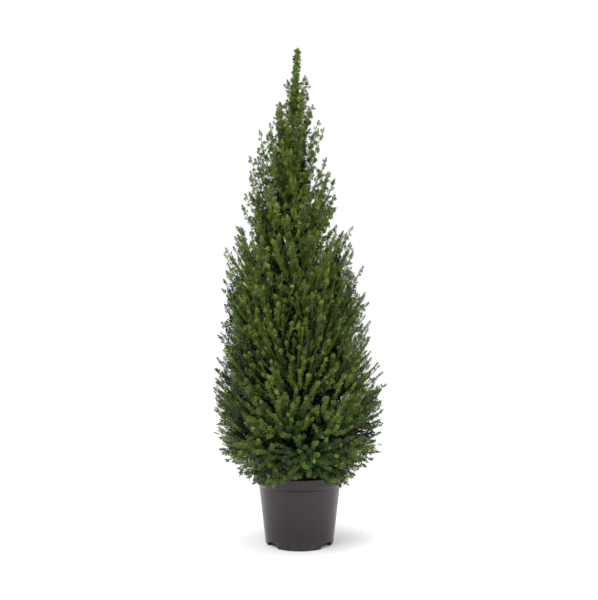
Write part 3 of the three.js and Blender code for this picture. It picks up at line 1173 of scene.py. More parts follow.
def needle_tree() -> Tree:
    """The tree that clads strands with needles in a golden-angle spiral.

    It reads four attributes of the strands: share, from 0 at a shoot's first needle to 1 at its tip; vigour,
    the size of its needles; spacing, the way from one needle to the next in metres; and flare, how far the
    first needles lean from the shoot in radians.

    Returns:
        A Geometry Nodes tree that gives the needles alone, realized and dressed.
    """
    inputs = (
        Knob("Strands", "NodeSocketGeometry"),
        Knob("Needle", "NodeSocketObject"),
        Knob("Needle Length", "NodeSocketFloat", 0.009),
        Knob("Needle Width", "NodeSocketFloat", 0.002),
        Knob("Lean At Tip", "NodeSocketFloat", 0.2),
        Knob("Scatter", "NodeSocketFloat", 0.25),
        Knob("Tip Shortening", "NodeSocketFloat", 0.25),
        Knob("Seed", "NodeSocketInt", 1),
        Knob("Material", "NodeSocketMaterial"),
    )
    outputs = (Knob("Needles", "NodeSocketGeometry"),)
    board, given, made = new_group("needle_coat", "GeometryNodeTree", inputs, outputs)
    value = given.outputs
    curve = board.add("GeometryNodeMeshToCurve", {0: value["Strands"]})
    share, vigour, spacing, flare = (
        board.add("GeometryNodeInputNamedAttribute", {"Name": name}).outputs[0] for name in NEEDLE_VALUES
    )
    spaced = board.add("GeometryNodeResampleCurve", {0: curve.outputs[0], "Length": spacing}, mode="LENGTH")
    points = board.add("GeometryNodeCurveToPoints", {0: spaced.outputs[0]}, mode="EVALUATED")

    def chance(step: int, low: float, high: float) -> Socket:
        """A random number for each needle, from its own seed."""
        node = board.add("FunctionNodeRandomValue", {"Seed": board.maths("ADD", value["Seed"], step)})
        node.inputs[2].default_value = low
        node.inputs[3].default_value = high
        return node.outputs[1]

    def turned_on(rotation: Socket, axis: str, angle: Socket) -> Socket:
        """A rotation that is turned on round one of its own axes."""
        euler = board.add("ShaderNodeCombineXYZ", {axis: angle}).outputs[0]
        turn = board.add("FunctionNodeEulerToRotation", {0: euler}).outputs[0]
        return board.add(
            "FunctionNodeRotateRotation", {0: rotation, 1: turn}, rotation_space="LOCAL"
        ).outputs[0]

    index = board.add("GeometryNodeInputIndex").outputs[0]
    spin = board.maths("ADD", board.maths("MULTIPLY", index, GOLDEN_ANGLE), chance(1, -0.5, 0.5))
    forward = board.maths("MULTIPLY", share, share)
    drop = board.maths("MULTIPLY", forward, board.maths("SUBTRACT", flare, value["Lean At Tip"]))
    lean = board.maths("SUBTRACT", flare, drop)
    loose = board.maths("ADD", lean, board.maths("MULTIPLY", chance(2, -1, 1), value["Scatter"]))
    leant = turned_on(turned_on(points.outputs["Rotation"], "Z", spin), "X", loose)
    shorter = board.maths("SUBTRACT", 1.0, board.maths("MULTIPLY", forward, value["Tip Shortening"]))
    size = board.maths("MULTIPLY", board.maths("MULTIPLY", shorter, vigour), chance(3, 0.78, 1.12))
    wide = board.maths("MULTIPLY", value["Needle Width"], board.maths("SQRT", vigour, 0.0))
    long = board.maths("MULTIPLY", value["Needle Length"], size)
    scale = board.add("ShaderNodeCombineXYZ", {"X": wide, "Y": wide, "Z": long})
    needle = board.add("GeometryNodeObjectInfo", {"Object": value["Needle"]})
    clad = board.add(
        "GeometryNodeInstanceOnPoints",
        {
            "Points": points.outputs[0], "Instance": needle.outputs["Geometry"],
            "Rotation": leant, "Scale": scale.outputs[0],
        },
    )
    return board.deliver(clad.outputs[0], value["Material"], made)


def twig_tree() -> Tree:
    """The tree that makes closed tubes of strands, as thick as their attribute radius says in metres.

    Returns:
        A Geometry Nodes tree that gives the tubes alone, realized and dressed.
    """
    inputs = (
        Knob("Strands", "NodeSocketGeometry"),
        Knob("Sides", "NodeSocketInt", 4),
        Knob("Material", "NodeSocketMaterial"),
    )
    outputs = (Knob("Twigs", "NodeSocketGeometry"),)
    board, given, made = new_group("twig_tube", "GeometryNodeTree", inputs, outputs)
    value = given.outputs
    curve = board.add("GeometryNodeMeshToCurve", {0: value["Strands"]})
    radius = board.add("GeometryNodeInputNamedAttribute", {"Name": "radius"}).outputs[0]
    ring = board.add("GeometryNodeCurvePrimitiveCircle", {"Resolution": value["Sides"], "Radius": 1.0})
    tube = board.add(
        "GeometryNodeCurveToMesh",
        {"Curve": curve.outputs[0], "Profile Curve": ring.outputs[0], "Scale": radius, "Fill Caps": True},
    )
    return board.deliver(tube.outputs[0], value["Material"], made)


@dataclass(frozen=True)
class NeedleCoat:
    """The sizes of one tone's needles, in metres and radians."""

    length: float = 0.0084
    width: float = 0.0025
    lean_tip: float = 0.32
    scatter: float = 0.22
    tip_shortening: float = 0.2

    def values(self, seed: int, needle: Object, material: Material) -> dict:
        """The needle tree's inputs."""
        return {
            "Needle": needle,
            "Needle Length": self.length,
            "Needle Width": self.width,
            "Lean At Tip": self.lean_tip,
            "Scatter": self.scatter,
            "Tip Shortening": self.tip_shortening,
            "Seed": seed,
            "Material": material,
        }


COATS = {
    Tone.FRESH: NeedleCoat(length=0.008, lean_tip=0.3),
    Tone.LEAF: NeedleCoat(),
    Tone.OLIVE: NeedleCoat(),
    Tone.DEEP: NeedleCoat(width=0.0026),
    Tone.SHADE: NeedleCoat(length=0.018, width=0.0062, lean_tip=0.7, scatter=0.5),
}


@dataclass(frozen=True)
class Cladding:
    """How needles stand on one part of a shoot: how close, how far from it at first, and how large."""

    spacing: float
    flare: float
    vigour: float = 1.0
    shares: tuple[float, float] = (0.0, 1.0)


TERMINAL = Cladding(spacing=0.0004, flare=1.4, vigour=0.8, shares=(0.1, 1.0))
TUFT = Cladding(spacing=0.00036, flare=1.4, vigour=0.72, shares=(0.1, 1.0))
SHADED = Cladding(spacing=0.0021, flare=1.15)


@dataclass(frozen=True)
class Manner:
    """How a shoot is clad: its needles, the way between its tufts, and their length at its foot and tip."""

    along: Cladding
    tuft_spacing: float
    tuft_length: tuple[float, float] = (7.5, 4.2)


KNOBBY = Manner(Cladding(spacing=0.0026, flare=0.95, vigour=0.8, shares=(0.0, 0.5)), 10.5)
FEATHERED = Manner(Cladding(spacing=0.0014, flare=1.0, vigour=0.78, shares=(0.0, 0.45)), 21.0, (8.0, 5.0))
FLUFFY = Manner(Cladding(spacing=0.0016, flare=1.2, vigour=0.92, shares=(0.0, 0.42)), 21.0, (8.0, 5.0))
BUSHY = Manner(KNOBBY.along, 7.0, (9.0, 6.8))
UPRIGHT = Manner(Cladding(spacing=0.0022, flare=0.95, vigour=0.9, shares=(0.0, 0.5)), 8.4, (8.6, 5.4))


class Zone(Enum):
    """The heights of the crown that share pieces, as the tiers in each."""

    LOWER = ("t1", "t2")
    MIDDLE = ("t3", "t4")
    UPPER = ("t5", "t6", "t7", "leader")

    @property
    def top(self) -> float:
        """The height that the zone reaches up to, without an end for the leader's."""
        if "leader" in self.value:
            return math.inf
        return max(tier.high for tier in TIERS if tier.name in self.value)

    @classmethod
    def of(cls, label: str) -> "Zone":
        """The zone of a mass."""
        return next(zone for zone in cls if label.split("_")[0] in zone.value)


@dataclass(frozen=True)
class Layer:
    """One depth of the crown's finer shoots, with the shares and lengths that they are drawn between."""

    count: int
    reach: tuple[float, float]
    length: tuple[float, float]
    stray: float


@dataclass(frozen=True)
class Habit:
    """How a tier of the crown grows its finer shoots.

    The crowd is how far they keep back from the outline, vigour the size of their needles, fresh the share of
    them with a fresh terminal rosette, deep the share with deep green needles, and olive the share of olive
    ones among the rest.
    """

    outer: Layer
    under: Layer
    inner: Layer
    crowd: float
    vigour: float
    fresh: float
    deep: float
    olive: float = 0.4
    manner: Manner = KNOBBY


HABITS = {
    "t1": Habit(
        Layer(60, (0.9, 1.05), (44, 64), 0.21),
        Layer(16, (0.68, 0.9), (46, 66), 0.24),
        Layer(50, (0.4, 0.9), (56, 84), 0.25),
        crowd=0.9, vigour=1.05, fresh=0.18, deep=0.3, olive=0.2, manner=FLUFFY,
    ),
    "t2": Habit(
        Layer(60, (0.9, 1.04), (48, 70), 0.19),
        Layer(15, (0.68, 0.88), (48, 70), 0.24),
        Layer(54, (0.4, 0.9), (56, 84), 0.25),
        crowd=0.9, vigour=1.05, fresh=0.22, deep=0.3, olive=0.22, manner=FLUFFY,
    ),
    "t3": Habit(
        Layer(58, (0.86, 1.01), (56, 84), 0.1),
        Layer(15, (0.66, 0.86), (58, 80), 0.18),
        Layer(58, (0.34, 0.9), (60, 90), 0.25),
        crowd=0.9, vigour=1.1, fresh=0.34, deep=0.28, olive=0.3, manner=FEATHERED,
    ),
    "t4": Habit(
        Layer(58, (0.84, 1.02), (60, 90), 0.08),
        Layer(14, (0.62, 0.84), (60, 84), 0.16),
        Layer(56, (0.3, 0.88), (60, 90), 0.24),
        crowd=0.95, vigour=1.15, fresh=0.42, deep=0.26, manner=FEATHERED,
    ),
    "t5": Habit(
        Layer(54, (0.78, 1.04), (62, 96), 0.07),
        Layer(14, (0.56, 0.8), (60, 86), 0.14),
        Layer(60, (0.26, 0.84), (60, 90), 0.2),
        crowd=1.1, vigour=1.25, fresh=0.4, deep=0.16, manner=FEATHERED,
    ),
    "t6": Habit(
        Layer(46, (0.68, 1.02), (66, 100), 0.06),
        Layer(12, (0.44, 0.66), (60, 90), 0.12),
        Layer(38, (0.25, 0.76), (60, 90), 0.18),
        crowd=1.2, vigour=1.35, fresh=0.38, deep=0.08,
    ),
    "t7": Habit(
        Layer(32, (0.45, 0.96), (60, 100), 0.05),
        Layer(8, (0.3, 0.56), (60, 90), 0.1),
        Layer(10, (0.2, 0.6), (50, 80), 0.15),
        crowd=1.2, vigour=1.4, fresh=0.35, deep=0.08, manner=UPRIGHT,
    ),
}


@dataclass(frozen=True)
class Spire:
    """A shoot that stands out of the crown, as (x, y, z) of its tip and the length of its needles' run."""

    tip: tuple[float, float, float]
    length: float


SPIRES = tuple(Spire((x, y, z), length) for x, y, z, length in (
    (-31, -14, 1192, 84), (14, 12, 1212, 84), (21, -12, 1190, 84), (-13, -18, 1166, 90), (3, -20, 1150, 84),
    (-24, -6, 1124, 90), (14, 20, 1144, 84), (-4, 22, 1130, 90), (34, -4, 1132, 72), (12, -16, 1174, 90),
    (-8, 14, 1182, 90), (-20, 8, 1160, 90), (20, 4, 1162, 84), (-30, -12, 1142, 84), (8, -24, 1128, 90),
    (24, -16, 1118, 84), (-50, -6, 1136, 90), (-57, 4, 1126, 84), (-52, 12, 1143, 100),
    (-76, -16, 1080, 86), (-104, 10, 1068, 94), (-128, -12, 996, 86), (-141, 8, 902, 80),
    (-147, -20, 870, 62), (26, -8, 1112, 84), (50, 10, 1094, 88), (62, -12, 1068, 100), (79, 14, 958, 82),
    (90, -8, 938, 84), (92, 20, 900, 60), (-165, -18, 788, 66), (-192, 10, 762, 80), (-186, -22, 700, 70),
    (136, -14, 814, 84), (132, 18, 776, 60), (165, 6, 713, 82), (-200, 16, 654, 76), (-209, -10, 534, 70),
    (-216, 6, 448, 62), (176, -16, 618, 72), (184, 12, 570, 74), (222, -6, 407, 62), (-115, -98, 172, 74),
    (-96, -116, 178, 70), (-76, -124, 184, 66), (-128, -82, 184, 70), (100, -110, 168, 76),
    (126, -96, 186, 78), (112, -106, 176, 72), (84, -116, 182, 64), (118, -86, 180, 66),
    (-60, -128, 180, 66), (-44, -134, 184, 62), (-84, -118, 172, 70), (-102, -108, 184, 66),
    (62, -128, 184, 62), (94, -112, 174, 70),
))


@dataclass(frozen=True)
class LeaderForm:
    """The leading shoot: its tones and twig, and the side shoots that the solids have round it."""

    tones: tuple[Tone, ...] = (Tone.FRESH, Tone.OLIVE, Tone.LEAF, Tone.LEAF)
    vigour: float = 1.4
    radii: tuple[float, float] = (3.0, 1.6)
    sides: int = 6
    first: float = 0.04
    spread: float = 0.55
    lean: float = 19.0
    length: float = 70.0
    shortening: float = 0.42
    side_vigour: float = 1.3
    deep: float = 0.1
    fresh: float = 0.5


@dataclass
class Crown:
    """All foliage: lead shoots and finer ones on each mass's stem, clad with needles by tone and zone."""

    form: CrownForm = CrownForm()
    leader_form: LeaderForm = LeaderForm()
    bough_end: float = 0.32
    stem_end: float = STEM_END
    stem_radius: float = 2.9
    bough_tip_share: float = 0.8
    stem_tip_share: float = 0.45
    needle_ahead: float = 6.0
    terminal: float = 6.4
    fresh_tuft_share: float = 0.16
    tuft_foot: float = 0.4
    tuft_lean: float = 0.85
    side_count: int = 2
    side_length: tuple[float, float] = (26.0, 14.0)
    side_lean: float = 0.66
    side_vigour: float = 0.9
    lead_sag: float = 0.02
    shift: float = 0.37
    steps: int = 3
    jitter: float = 0.12
    longest_clad: float = 0.62
    root_shares: tuple[float, float] = (0.45, 1.0)
    fan_power: float = 1.7
    stray_power: float = 1.5
    shortest_twig: float = 0.02
    # Shoots of the under layer are dealt deep green more often and fresh tips less often: partly painted
    # shade beneath the outer shoots.
    under_fresh: float = 0.3
    under_deep: float = 0.65
    spire_vigour: float = 1.35
    spire_fresh: float = 0.4
    spire_deep: float = 0.12
    twig_radii: tuple[float, float, float] = (1.3, 0.8, 0.5)
    bushy_above: float = 1110.0
    widest: float = 217.0
    lift: Table = ((236, 0), (320, 0.2), (560, 0.25), (830, 0))
    front_open: float = 200.0
    front_lift: float = 0.85
    front_azimuth: float = 0.12
    front_half_angle: tuple[float, float] = (0.26, 0.46)
    needles: dict[tuple[Zone, Tone], Strands] = field(default_factory=dict)
    young: dict[Zone, Strands] = field(default_factory=dict)
    old: dict[Zone, Strands] = field(default_factory=dict)

    def coat(self, zone: Zone, tone: Tone, points: np.ndarray, cladding: Cladding, vigour: float) -> None:
        """Hand a strand over to be clad with needles.

        Args:
            zone: Its zone.
            tone: Its needles' tone.
            points: Its points in millimetres.
            cladding: How the needles stand on it.
            vigour: The size of its needles.
        """
        strands = self.needles.setdefault((zone, tone), Strands(NEEDLE_VALUES))
        shares = np.linspace(*cladding.shares, len(points))
        strands.add(points, shares, vigour * cladding.vigour, cladding.spacing, cladding.flare)

    def twig(
        self, group: dict[Zone, Strands], zone: Zone, points: np.ndarray, first: float, last: float
    ) -> None:
        """Hand a strand over to be made a twig.

        Args:
            group: The young twigs or the old ones.
            zone: Its zone.
            points: Its points in millimetres.
            first: Its radius at its root.
            last: Its radius at its tip.
        """
        radii = np.linspace(first, last, len(points)) * MM
        group.setdefault(zone, Strands(("radius",))).add(points, radii)

    def tone(self, stream: RandomStream, deep: float, olive: float = 0.42) -> Tone:
        """Deal out a spray's tone.

        Args:
            stream: Random numbers.
            deep: The share of deep green sprays.
            olive: The share of olive sprays among the rest.

        Returns:
            The tone.
        """
        draw = stream.draw()
        return Tone.DEEP if draw < deep else Tone.OLIVE if draw < deep + olive * (1 - deep) else Tone.LEAF

    def side_way(self, way: np.ndarray, angle: float, lean: float) -> np.ndarray:
        """The direction of a side shoot.

        Args:
            way: The direction of the shoot that it leaves.
            angle: Where round that shoot it leaves, in radians.
            lean: How far it leans from that shoot, in radians.

        Returns:
            A unit vector.
        """
        way = way / math.sqrt(float(way @ way))
        side = np.array([way[1], -way[0], 0.0]) + np.array([1e-6, 0.0, 0.0])
        side /= math.sqrt(float(side @ side))
        across = np.array([
            way[1] * side[2] - way[2] * side[1],
            way[2] * side[0] - way[0] * side[2],
            way[0] * side[1] - way[1] * side[0],
        ])
        return way * math.cos(lean) + (side * math.cos(angle) + across * math.sin(angle)) * math.sin(lean)

    def clad(
        self,
        zone: Zone,
        tone: Tone,
        points: np.ndarray,
        stream: RandomStream,
        vigour: float,
        fresh: bool,
        manner: Manner,
    ) -> None:
        """Clad a shoot: sparse needles along it, tufts where its side buds grew out, and a terminal rosette.

        Args:
            zone: The shoot's zone.
            tone: Its needles' tone.
            points: Its points in millimetres, from its first needle to its tip.
            stream: Random numbers.
            vigour: The size of its needles and tufts.
            fresh: Whether its terminal rosette is fresh.
            manner: How its needles stand.
        """
        gaps = np.sqrt(((points[1:] - points[:-1]) ** 2).sum(axis=1))
        marks = np.concatenate([[0], np.cumsum(gaps)])
        length = float(marks[-1])

        def at(mark: float) -> np.ndarray:
            """The point at a length along the shoot."""
            return np.array([np.interp(mark, marks, points[:, axis]) for axis in range(3)])

        cut = max(length - self.terminal * vigour, 0.4 * length)
        self.coat(zone, tone, np.vstack([points[marks < cut - 1], at(cut)]), manner.along, vigour)
        self.coat(zone, Tone.FRESH if fresh else tone, np.array([at(cut), points[-1]]), TERMINAL, vigour)
        self.twig(self.young, zone, points, self.twig_radii[1], self.twig_radii[2])
        count = int((cut - 2) / manner.tuft_spacing)
        angle = stream.between(0, 2 * math.pi)
        for k in range(count):
            angle += GOLDEN_ANGLE + stream.between(-0.3, 0.3)
            share = (k + 0.5 + 0.5 * stream.draw()) / max(1, count)
            start = at(share * cut)
            reach = float(np.interp(share, [0, 1], manner.tuft_length)) * stream.between(0.75, 1.25) * vigour
            way = self.side_way(points[-1] - points[0], angle, self.tuft_lean)
            bright = tone is not Tone.DEEP and share > 0.4 and stream.draw() < self.fresh_tuft_share
            tuft = np.array([start + way * reach * self.tuft_foot, start + way * reach])
            self.coat(zone, Tone.FRESH if bright else tone, tuft, TUFT, vigour)

    def lead_spray(self, zone: Zone, habit: Habit, shoot: LeadShoot, stream: RandomStream) -> None:
        """Grow one of the solids' shoots as a spray: a clad axis with side shoots along it.

        Args:
            zone: Its zone.
            habit: How its tier grows.
            shoot: The solids' shoot.
            stream: The mass's random numbers.
        """
        way = shoot.tip - shoot.start
        length = float(np.linalg.norm(way))
        tip = shoot.tip - way / length * self.needle_ahead
        sag = np.array([0, 0, -self.lead_sag * length])
        shares = np.linspace(0, 1, 4)
        points = np.array([
            shoot.start + (tip - shoot.start) * share + sag * math.sin(math.pi * share) for share in shares
        ])
        tone = self.tone(stream, habit.deep, habit.olive)
        fresh = stream.draw() < 2 * habit.fresh
        self.clad(zone, tone, self.lifted(points), stream, habit.vigour, fresh, habit.manner)
        foot = self.lifted(np.array([shoot.root, shoot.start]))
        self.twig(self.old, zone, foot, self.twig_radii[0], self.twig_radii[1])
        angle = stream.between(0, 2 * math.pi)
        for k in range(self.side_count):
            angle += GOLDEN_ANGLE
            share = 0.04 + 0.7 * (k + stream.draw()) / self.side_count
            reach = float(np.interp(share, [0, 1], self.side_length)) * stream.between(0.8, 1.15)
            start = shoot.start + (tip - shoot.start) * share
            end = start + self.side_way(way, angle, self.side_lean) * reach
            side = self.lifted(np.array([start, end]))
            fresh = stream.draw() < habit.fresh
            self.clad(zone, tone, side, stream, self.side_vigour * habit.vigour, fresh, habit.manner)

    def lifted(self, points: np.ndarray) -> np.ndarray:
        """Lift what would hang over the rim at the front, where the crown leaves the pot's mouth open.

        Args:
            points: Points in millimetres.

        Returns:
            The same points, with the low ones at the front raised.
        """
        turn = np.abs(np.arctan2(points[:, 0], -points[:, 1]) - self.front_azimuth)
        open_share = np.clip((self.front_half_angle[1] - turn) / np.ptp(self.front_half_angle), 0, 1)
        short = np.clip(self.front_open - points[:, 2], 0, None)
        made = points.copy()
        made[:, 2] += short * self.front_lift * open_share
        return made

    def fine_shoot(self, space: Space, habit: Habit, layer: Layer, i: int, stream: RandomStream) -> None:
        """Grow one finer shoot on its own growth line, from the mass's stem to near the crown's outline.

        Args:
            space: Its mass's space.
            habit: How its tier grows.
            layer: The depth that it belongs to.
            i: Its number in the layer.
            stream: The mass's random numbers.
        """
        zone = Zone.of(space.label)
        across = 2 * ((i * GOLDEN_SHARE + space.seed * self.shift) % 1) - 1
        across += stream.between(-self.jitter, self.jitter)
        rise = 2 * ((i + stream.draw()) / layer.count) - 1
        h_end = space.middle + rise * space.half_height
        reach = layer.reach[0] + (layer.reach[1] - layer.reach[0]) * stream.draw() ** habit.crowd
        reach = min(reach, self.widest / float(self.form.outline_at(h_end)))
        clad_length = stream.between(*layer.length)
        clad_share = min(self.form.share_of(clad_length, h_end, reach), self.longest_clad * reach)
        root_share = min(stream.between(*self.root_shares) * self.stem_end, reach - clad_share)
        shares = np.linspace(reach - clad_share, reach, self.steps + 1)
        shares = np.concatenate([np.linspace(root_share, shares[0], 3)[:-1], shares])
        fan = 1 - (1 - np.clip((shares - root_share) / (reach - root_share), 0, 1)) ** self.fan_power
        azimuths = space.azimuth + fan * across * space.half_width
        points = self.form.on_line(azimuths, space.middle + fan * rise * space.half_height, shares)
        stray = np.array([stream.between(-1, 1) for _ in range(3)]) * layer.stray * clad_length
        stray[2] += float(np.interp(h_end, *np.transpose(self.lift))) * clad_length
        given_way = np.concatenate([np.zeros(2), np.linspace(0, 1, self.steps + 1)]) ** self.stray_power
        points = self.lifted(points + np.outer(given_way, stray))
        clad = points[2:].copy()
        ahead = clad[-1] - clad[-2]
        last = float(np.linalg.norm(ahead))
        clad[-1] -= ahead / last * min(self.needle_ahead, 0.4 * last)
        # The inner layer is clad in the near-black SHADE tone: painted shade between the shoots, partly old
        # inner needles.
        if layer is habit.inner:
            self.coat(zone, Tone.SHADE, clad, SHADED, stream.between(0.8, 1.1))
            self.twig(self.old, zone, points, self.twig_radii[1], self.twig_radii[2])
            return
        # Under shoots get darker tones here, partly as painted shade beneath the outer shoots.
        under = layer is habit.under
        fresh = stream.draw() < habit.fresh * (self.under_fresh if under else 1.0)
        tone = self.tone(stream, self.under_deep if under else habit.deep, habit.olive)
        self.clad(zone, tone, clad, stream, habit.vigour * stream.between(0.85, 1.15), fresh, habit.manner)
        if shares[2] - root_share > self.shortest_twig:
            self.twig(self.old, zone, points[:3], self.twig_radii[0], self.twig_radii[1])

    def mass(self, space: Space, leads: LeadRule) -> None:
        """Grow all shoots of one mass, and its stem.

        Args:
            space: The mass's space.
            leads: The rule of the solids' shoots.
        """
        zone = Zone.of(space.label)
        habit = HABITS[space.label.split("_")[0]]
        stream = RandomStream(1000 + space.seed)
        from_share = self.bough_end if space.bough else 0.01
        stem_radius = space.bough * self.bough_tip_share if space.bough else self.stem_radius
        stem = self.form.on_line(space.azimuth, space.middle, np.linspace(from_share, self.stem_end, 7))
        self.twig(self.old, zone, stem, stem_radius, stem_radius * self.stem_tip_share)
        for shoot in leads.shoots(space):
            self.lead_spray(zone, habit, shoot, stream)
        for layer in (habit.outer, habit.under, habit.inner):
            for i in range(layer.count):
                self.fine_shoot(space, habit, layer, i, stream)

    def spire(self, spire: Spire, stream: RandomStream) -> None:
        """Grow one shoot that stands out of the crown, on the growth line through its tip.

        Args:
            spire: The shoot.
            stream: Random numbers.
        """
        form = self.form
        x, y, z = spire.tip
        out = x - float(form.sway_at(z))
        radius, azimuth = math.hypot(out, y), math.atan2(out, -y)
        h = float(form.line_through(np.array([radius]), np.array([float(z)]))[0])
        share = radius / float(form.outline_at(h))
        first = max(0.02, share - form.share_of(spire.length, h, share))
        points = form.on_line(azimuth, h, np.linspace(first, share, 5))
        zone = next(zone for zone in Zone if z < zone.top)
        manner = BUSHY if z > self.bushy_above else KNOBBY
        tone = self.tone(stream, self.spire_deep)
        self.clad(zone, tone, points, stream, self.spire_vigour, stream.draw() < self.spire_fresh, manner)
        root = form.on_line(azimuth, h, np.linspace(max(0.01, 0.3 * first), first, 3))
        self.twig(self.old, zone, root, self.twig_radii[0], self.twig_radii[1])

    def leader(self) -> None:
        """Grow the year's leading shoot on the trunk's tip, with the solids' side shoots round it."""
        form, rule, zone = self.form, self.leader_form, Zone.UPPER
        stream, finer = RandomStream(7), RandomStream(707)
        foot = np.array([form.sway_at(form.trunk.top), 0, form.trunk.top])
        top = np.array([form.sway_at(form.top), 0, form.top])
        axis = top - foot
        end = top - axis / np.linalg.norm(axis) * self.needle_ahead
        points = np.array([foot + (end - foot) * share for share in np.linspace(0.02, 1, 7)])
        for tone in rule.tones:
            self.clad(zone, tone, points, finer, rule.vigour, True, BUSHY)
        self.twig(self.old, zone, np.array([foot, (foot + end) / 2]), *rule.radii)
        stream.skip(2)
        for i in range(rule.sides):
            along = i / rule.sides
            root = foot + axis * (rule.first + rule.spread * along)
            lean = math.radians(rule.lean * (0.8 + 0.4 * stream.draw()))
            stream.skip(2)
            spin = (i + 1) * GOLDEN_ANGLE
            way = np.array([math.sin(lean) * math.cos(spin), math.sin(lean) * math.sin(spin), math.cos(lean)])
            length = rule.length * (1 - rule.shortening * along) - self.needle_ahead
            side = np.array([root + way * length * share for share in np.linspace(0, 1, 4)])
            tone = self.tone(finer, rule.deep)
            self.clad(zone, tone, side, finer, rule.side_vigour, finer.draw() < rule.fresh, BUSHY)

    def build(self, young_bark: Material, old_bark: Material) -> None:
        """Grow the whole crown and make its pieces.

        Args:
            young_bark: The skin of the young twigs.
            old_bark: The skin of the old ones, and of all twigs low down.
        """
        leads = LeadRule(self.form)
        for number, tier in enumerate(TIERS, start=1):
            for space in tier.spaces(number):
                self.mass(space, leads)
        self.leader()
        stream = RandomStream(909)
        for spire in SPIRES:
            self.spire(spire, stream)
        needles, twigs, needle = needle_tree(), twig_tree(), needle_body()
        masses = [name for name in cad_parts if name.startswith("foliage_")]
        materials = {tone: tone.value.material() for tone in Tone}
        for number, ((zone, tone), strands) in enumerate(self.needles.items()):
            name = f"{tone.value.name}_{zone.name.lower()}"
            values = COATS[tone].values(number, needle, materials[tone])
            piece = grown(strands.to_object(f"{name}_strands"), needles, values, name)
            nodes = [node for node in masses if Zone.of(node.removeprefix("foliage_")) is zone]
            settle(piece, nodes)
        bpy.data.objects.remove(needle)
        for kind, finish, sides, groups in (
            ("young_twigs", young_bark, 3, self.young), ("old_twigs", old_bark, 4, self.old)
        ):
            for zone, strands in groups.items():
                name = f"{kind}_{zone.name.lower()}"
                values = {"Sides": sides, "Material": old_bark if zone is Zone.LOWER else finish}
                settle(grown(strands.to_object(f"{name}_strands"), twigs, values, name), [])


# ---- Trunk and boughs


@dataclass
class Limbs:
    """The trunk and the main boughs, with the relief of scaly bark."""

    form: CrownForm = CrownForm()
    trunk_sides: int = 56
    trunk_rings: int = 230
    trunk_crowding: float = 1.2
    trunk_sunk: float = 2.5
    trunk_relief: float = 1.5
    bough_sides: int = 18
    bough_rings: int = 26
    bough_relief: float = 0.5
    bough_start: float = 0.03
    bough_end: float = 0.325
    root_share: float = 1.25
    tip_share: float = 0.8
    full_relief: float = 10.0
    scale_width: float = 5.0
    scale_length: float = 13.0

    def tube(
        self, centres: np.ndarray, radii: np.ndarray, sides: int, relief: float, seed: float
    ) -> tuple[np.ndarray, list[tuple[int, ...]]]:
        """A closed limb with bark relief.

        Args:
            centres: The points of its middle line, in millimetres.
            radii: Its radius at each of them.
            sides: How many points go round it.
            relief: How far its bark stands in and out.
            seed: A number that sets its pattern of bark apart.

        Returns:
            Its points in millimetres and its faces.
        """
        ways = np.gradient(centres, axis=0)
        ways /= np.linalg.norm(ways, axis=1)[:, None]
        side = np.cross(ways, [0.0, 1.0, 0.0] if abs(ways[0][1]) < 0.8 else [1.0, 0.0, 0.0])
        side /= np.linalg.norm(side, axis=1)[:, None]
        across = np.cross(ways, side)
        travelled = np.concatenate([[0], np.cumsum(np.linalg.norm(np.diff(centres, axis=0), axis=1))])
        points = []
        wide, long = self.scale_width, self.scale_length
        for centre, radius, s, a, b in zip(centres, radii, travelled, side, across):
            for j in range(sides):
                angle = 2 * math.pi * j / sides
                x, y = math.cos(angle), math.sin(angle)
                spot = Vector((x * radius / wide, y * radius / wide, s / long + seed))
                bark = noise.fractal(spot, 0.8, 2.2, 3) * relief * min(1.0, radius / self.full_relief)
                points.append(centre + (a * x + b * y) * (radius + bark))
        count = len(centres)
        faces = []
        for ring in range(count - 1):
            for j in range(sides):
                k = (j + 1) % sides
                low, high = ring * sides, (ring + 1) * sides
                faces.append((low + j, low + k, high + k, high + j))
        points += [centres[0], centres[-1]]
        for j in range(sides):
            k = (j + 1) % sides
            faces.append((count * sides, k, j))
            faces.append((count * sides + 1, (count - 1) * sides + j, (count - 1) * sides + k))
        return np.array(points), faces

    def build(self, bark: Material) -> None:
        """Make the trunk and the boughs."""
        trunk = self.form.trunk
        shares = np.linspace(0, 1, self.trunk_rings) ** self.trunk_crowding
        z = trunk.foot - self.trunk_sunk + (trunk.top - trunk.foot + self.trunk_sunk) * shares
        centres = np.stack([self.form.sway_at(z), np.zeros_like(z), z], axis=1)
        points, faces = self.tube(centres, trunk.radius_at(z), self.trunk_sides, self.trunk_relief, 0.0)
        self.finish("trunk_bark", points, faces, bark, ["trunk"])
        all_points, all_faces, offset = [], [], 0
        for number, tier in enumerate(TIERS, start=1):
            for space in tier.spaces(number):
                if not space.bough:
                    continue
                shares = np.linspace(self.bough_start, self.bough_end, self.bough_rings)
                line = self.form.on_line(space.azimuth, space.middle, shares)
                thick, thin = space.bough * self.root_share, space.bough * self.tip_share
                radii = np.linspace(thick, thin, self.bough_rings)
                points, faces = self.tube(line, radii, self.bough_sides, self.bough_relief, space.seed)
                all_points.append(points)
                all_faces += [tuple(v + offset for v in face) for face in faces]
                offset += len(points)
        nodes = [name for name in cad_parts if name.startswith("bough_")]
        self.finish("bough_bark", np.concatenate(all_points), all_faces, bark, nodes)

    def finish(
        self,
        name: str,
        points: np.ndarray,
        faces: list[tuple[int, ...]],
        bark: Material,
        nodes: list[str],
    ) -> None:
        """Turn a limb's points and faces into a finished piece.

        Args:
            name: The piece's name.
            points: Its points in millimetres.
            faces: Its loops of point numbers.
            bark: Its material.
            nodes: The solids that it stands for.
        """
        piece = mesh_object(name, (points * MM).tolist(), faces=faces)
        outwards(piece)
        soften(piece, 80.0)
        dress(piece, bark)
        settle(piece, nodes)


# ---- The studio


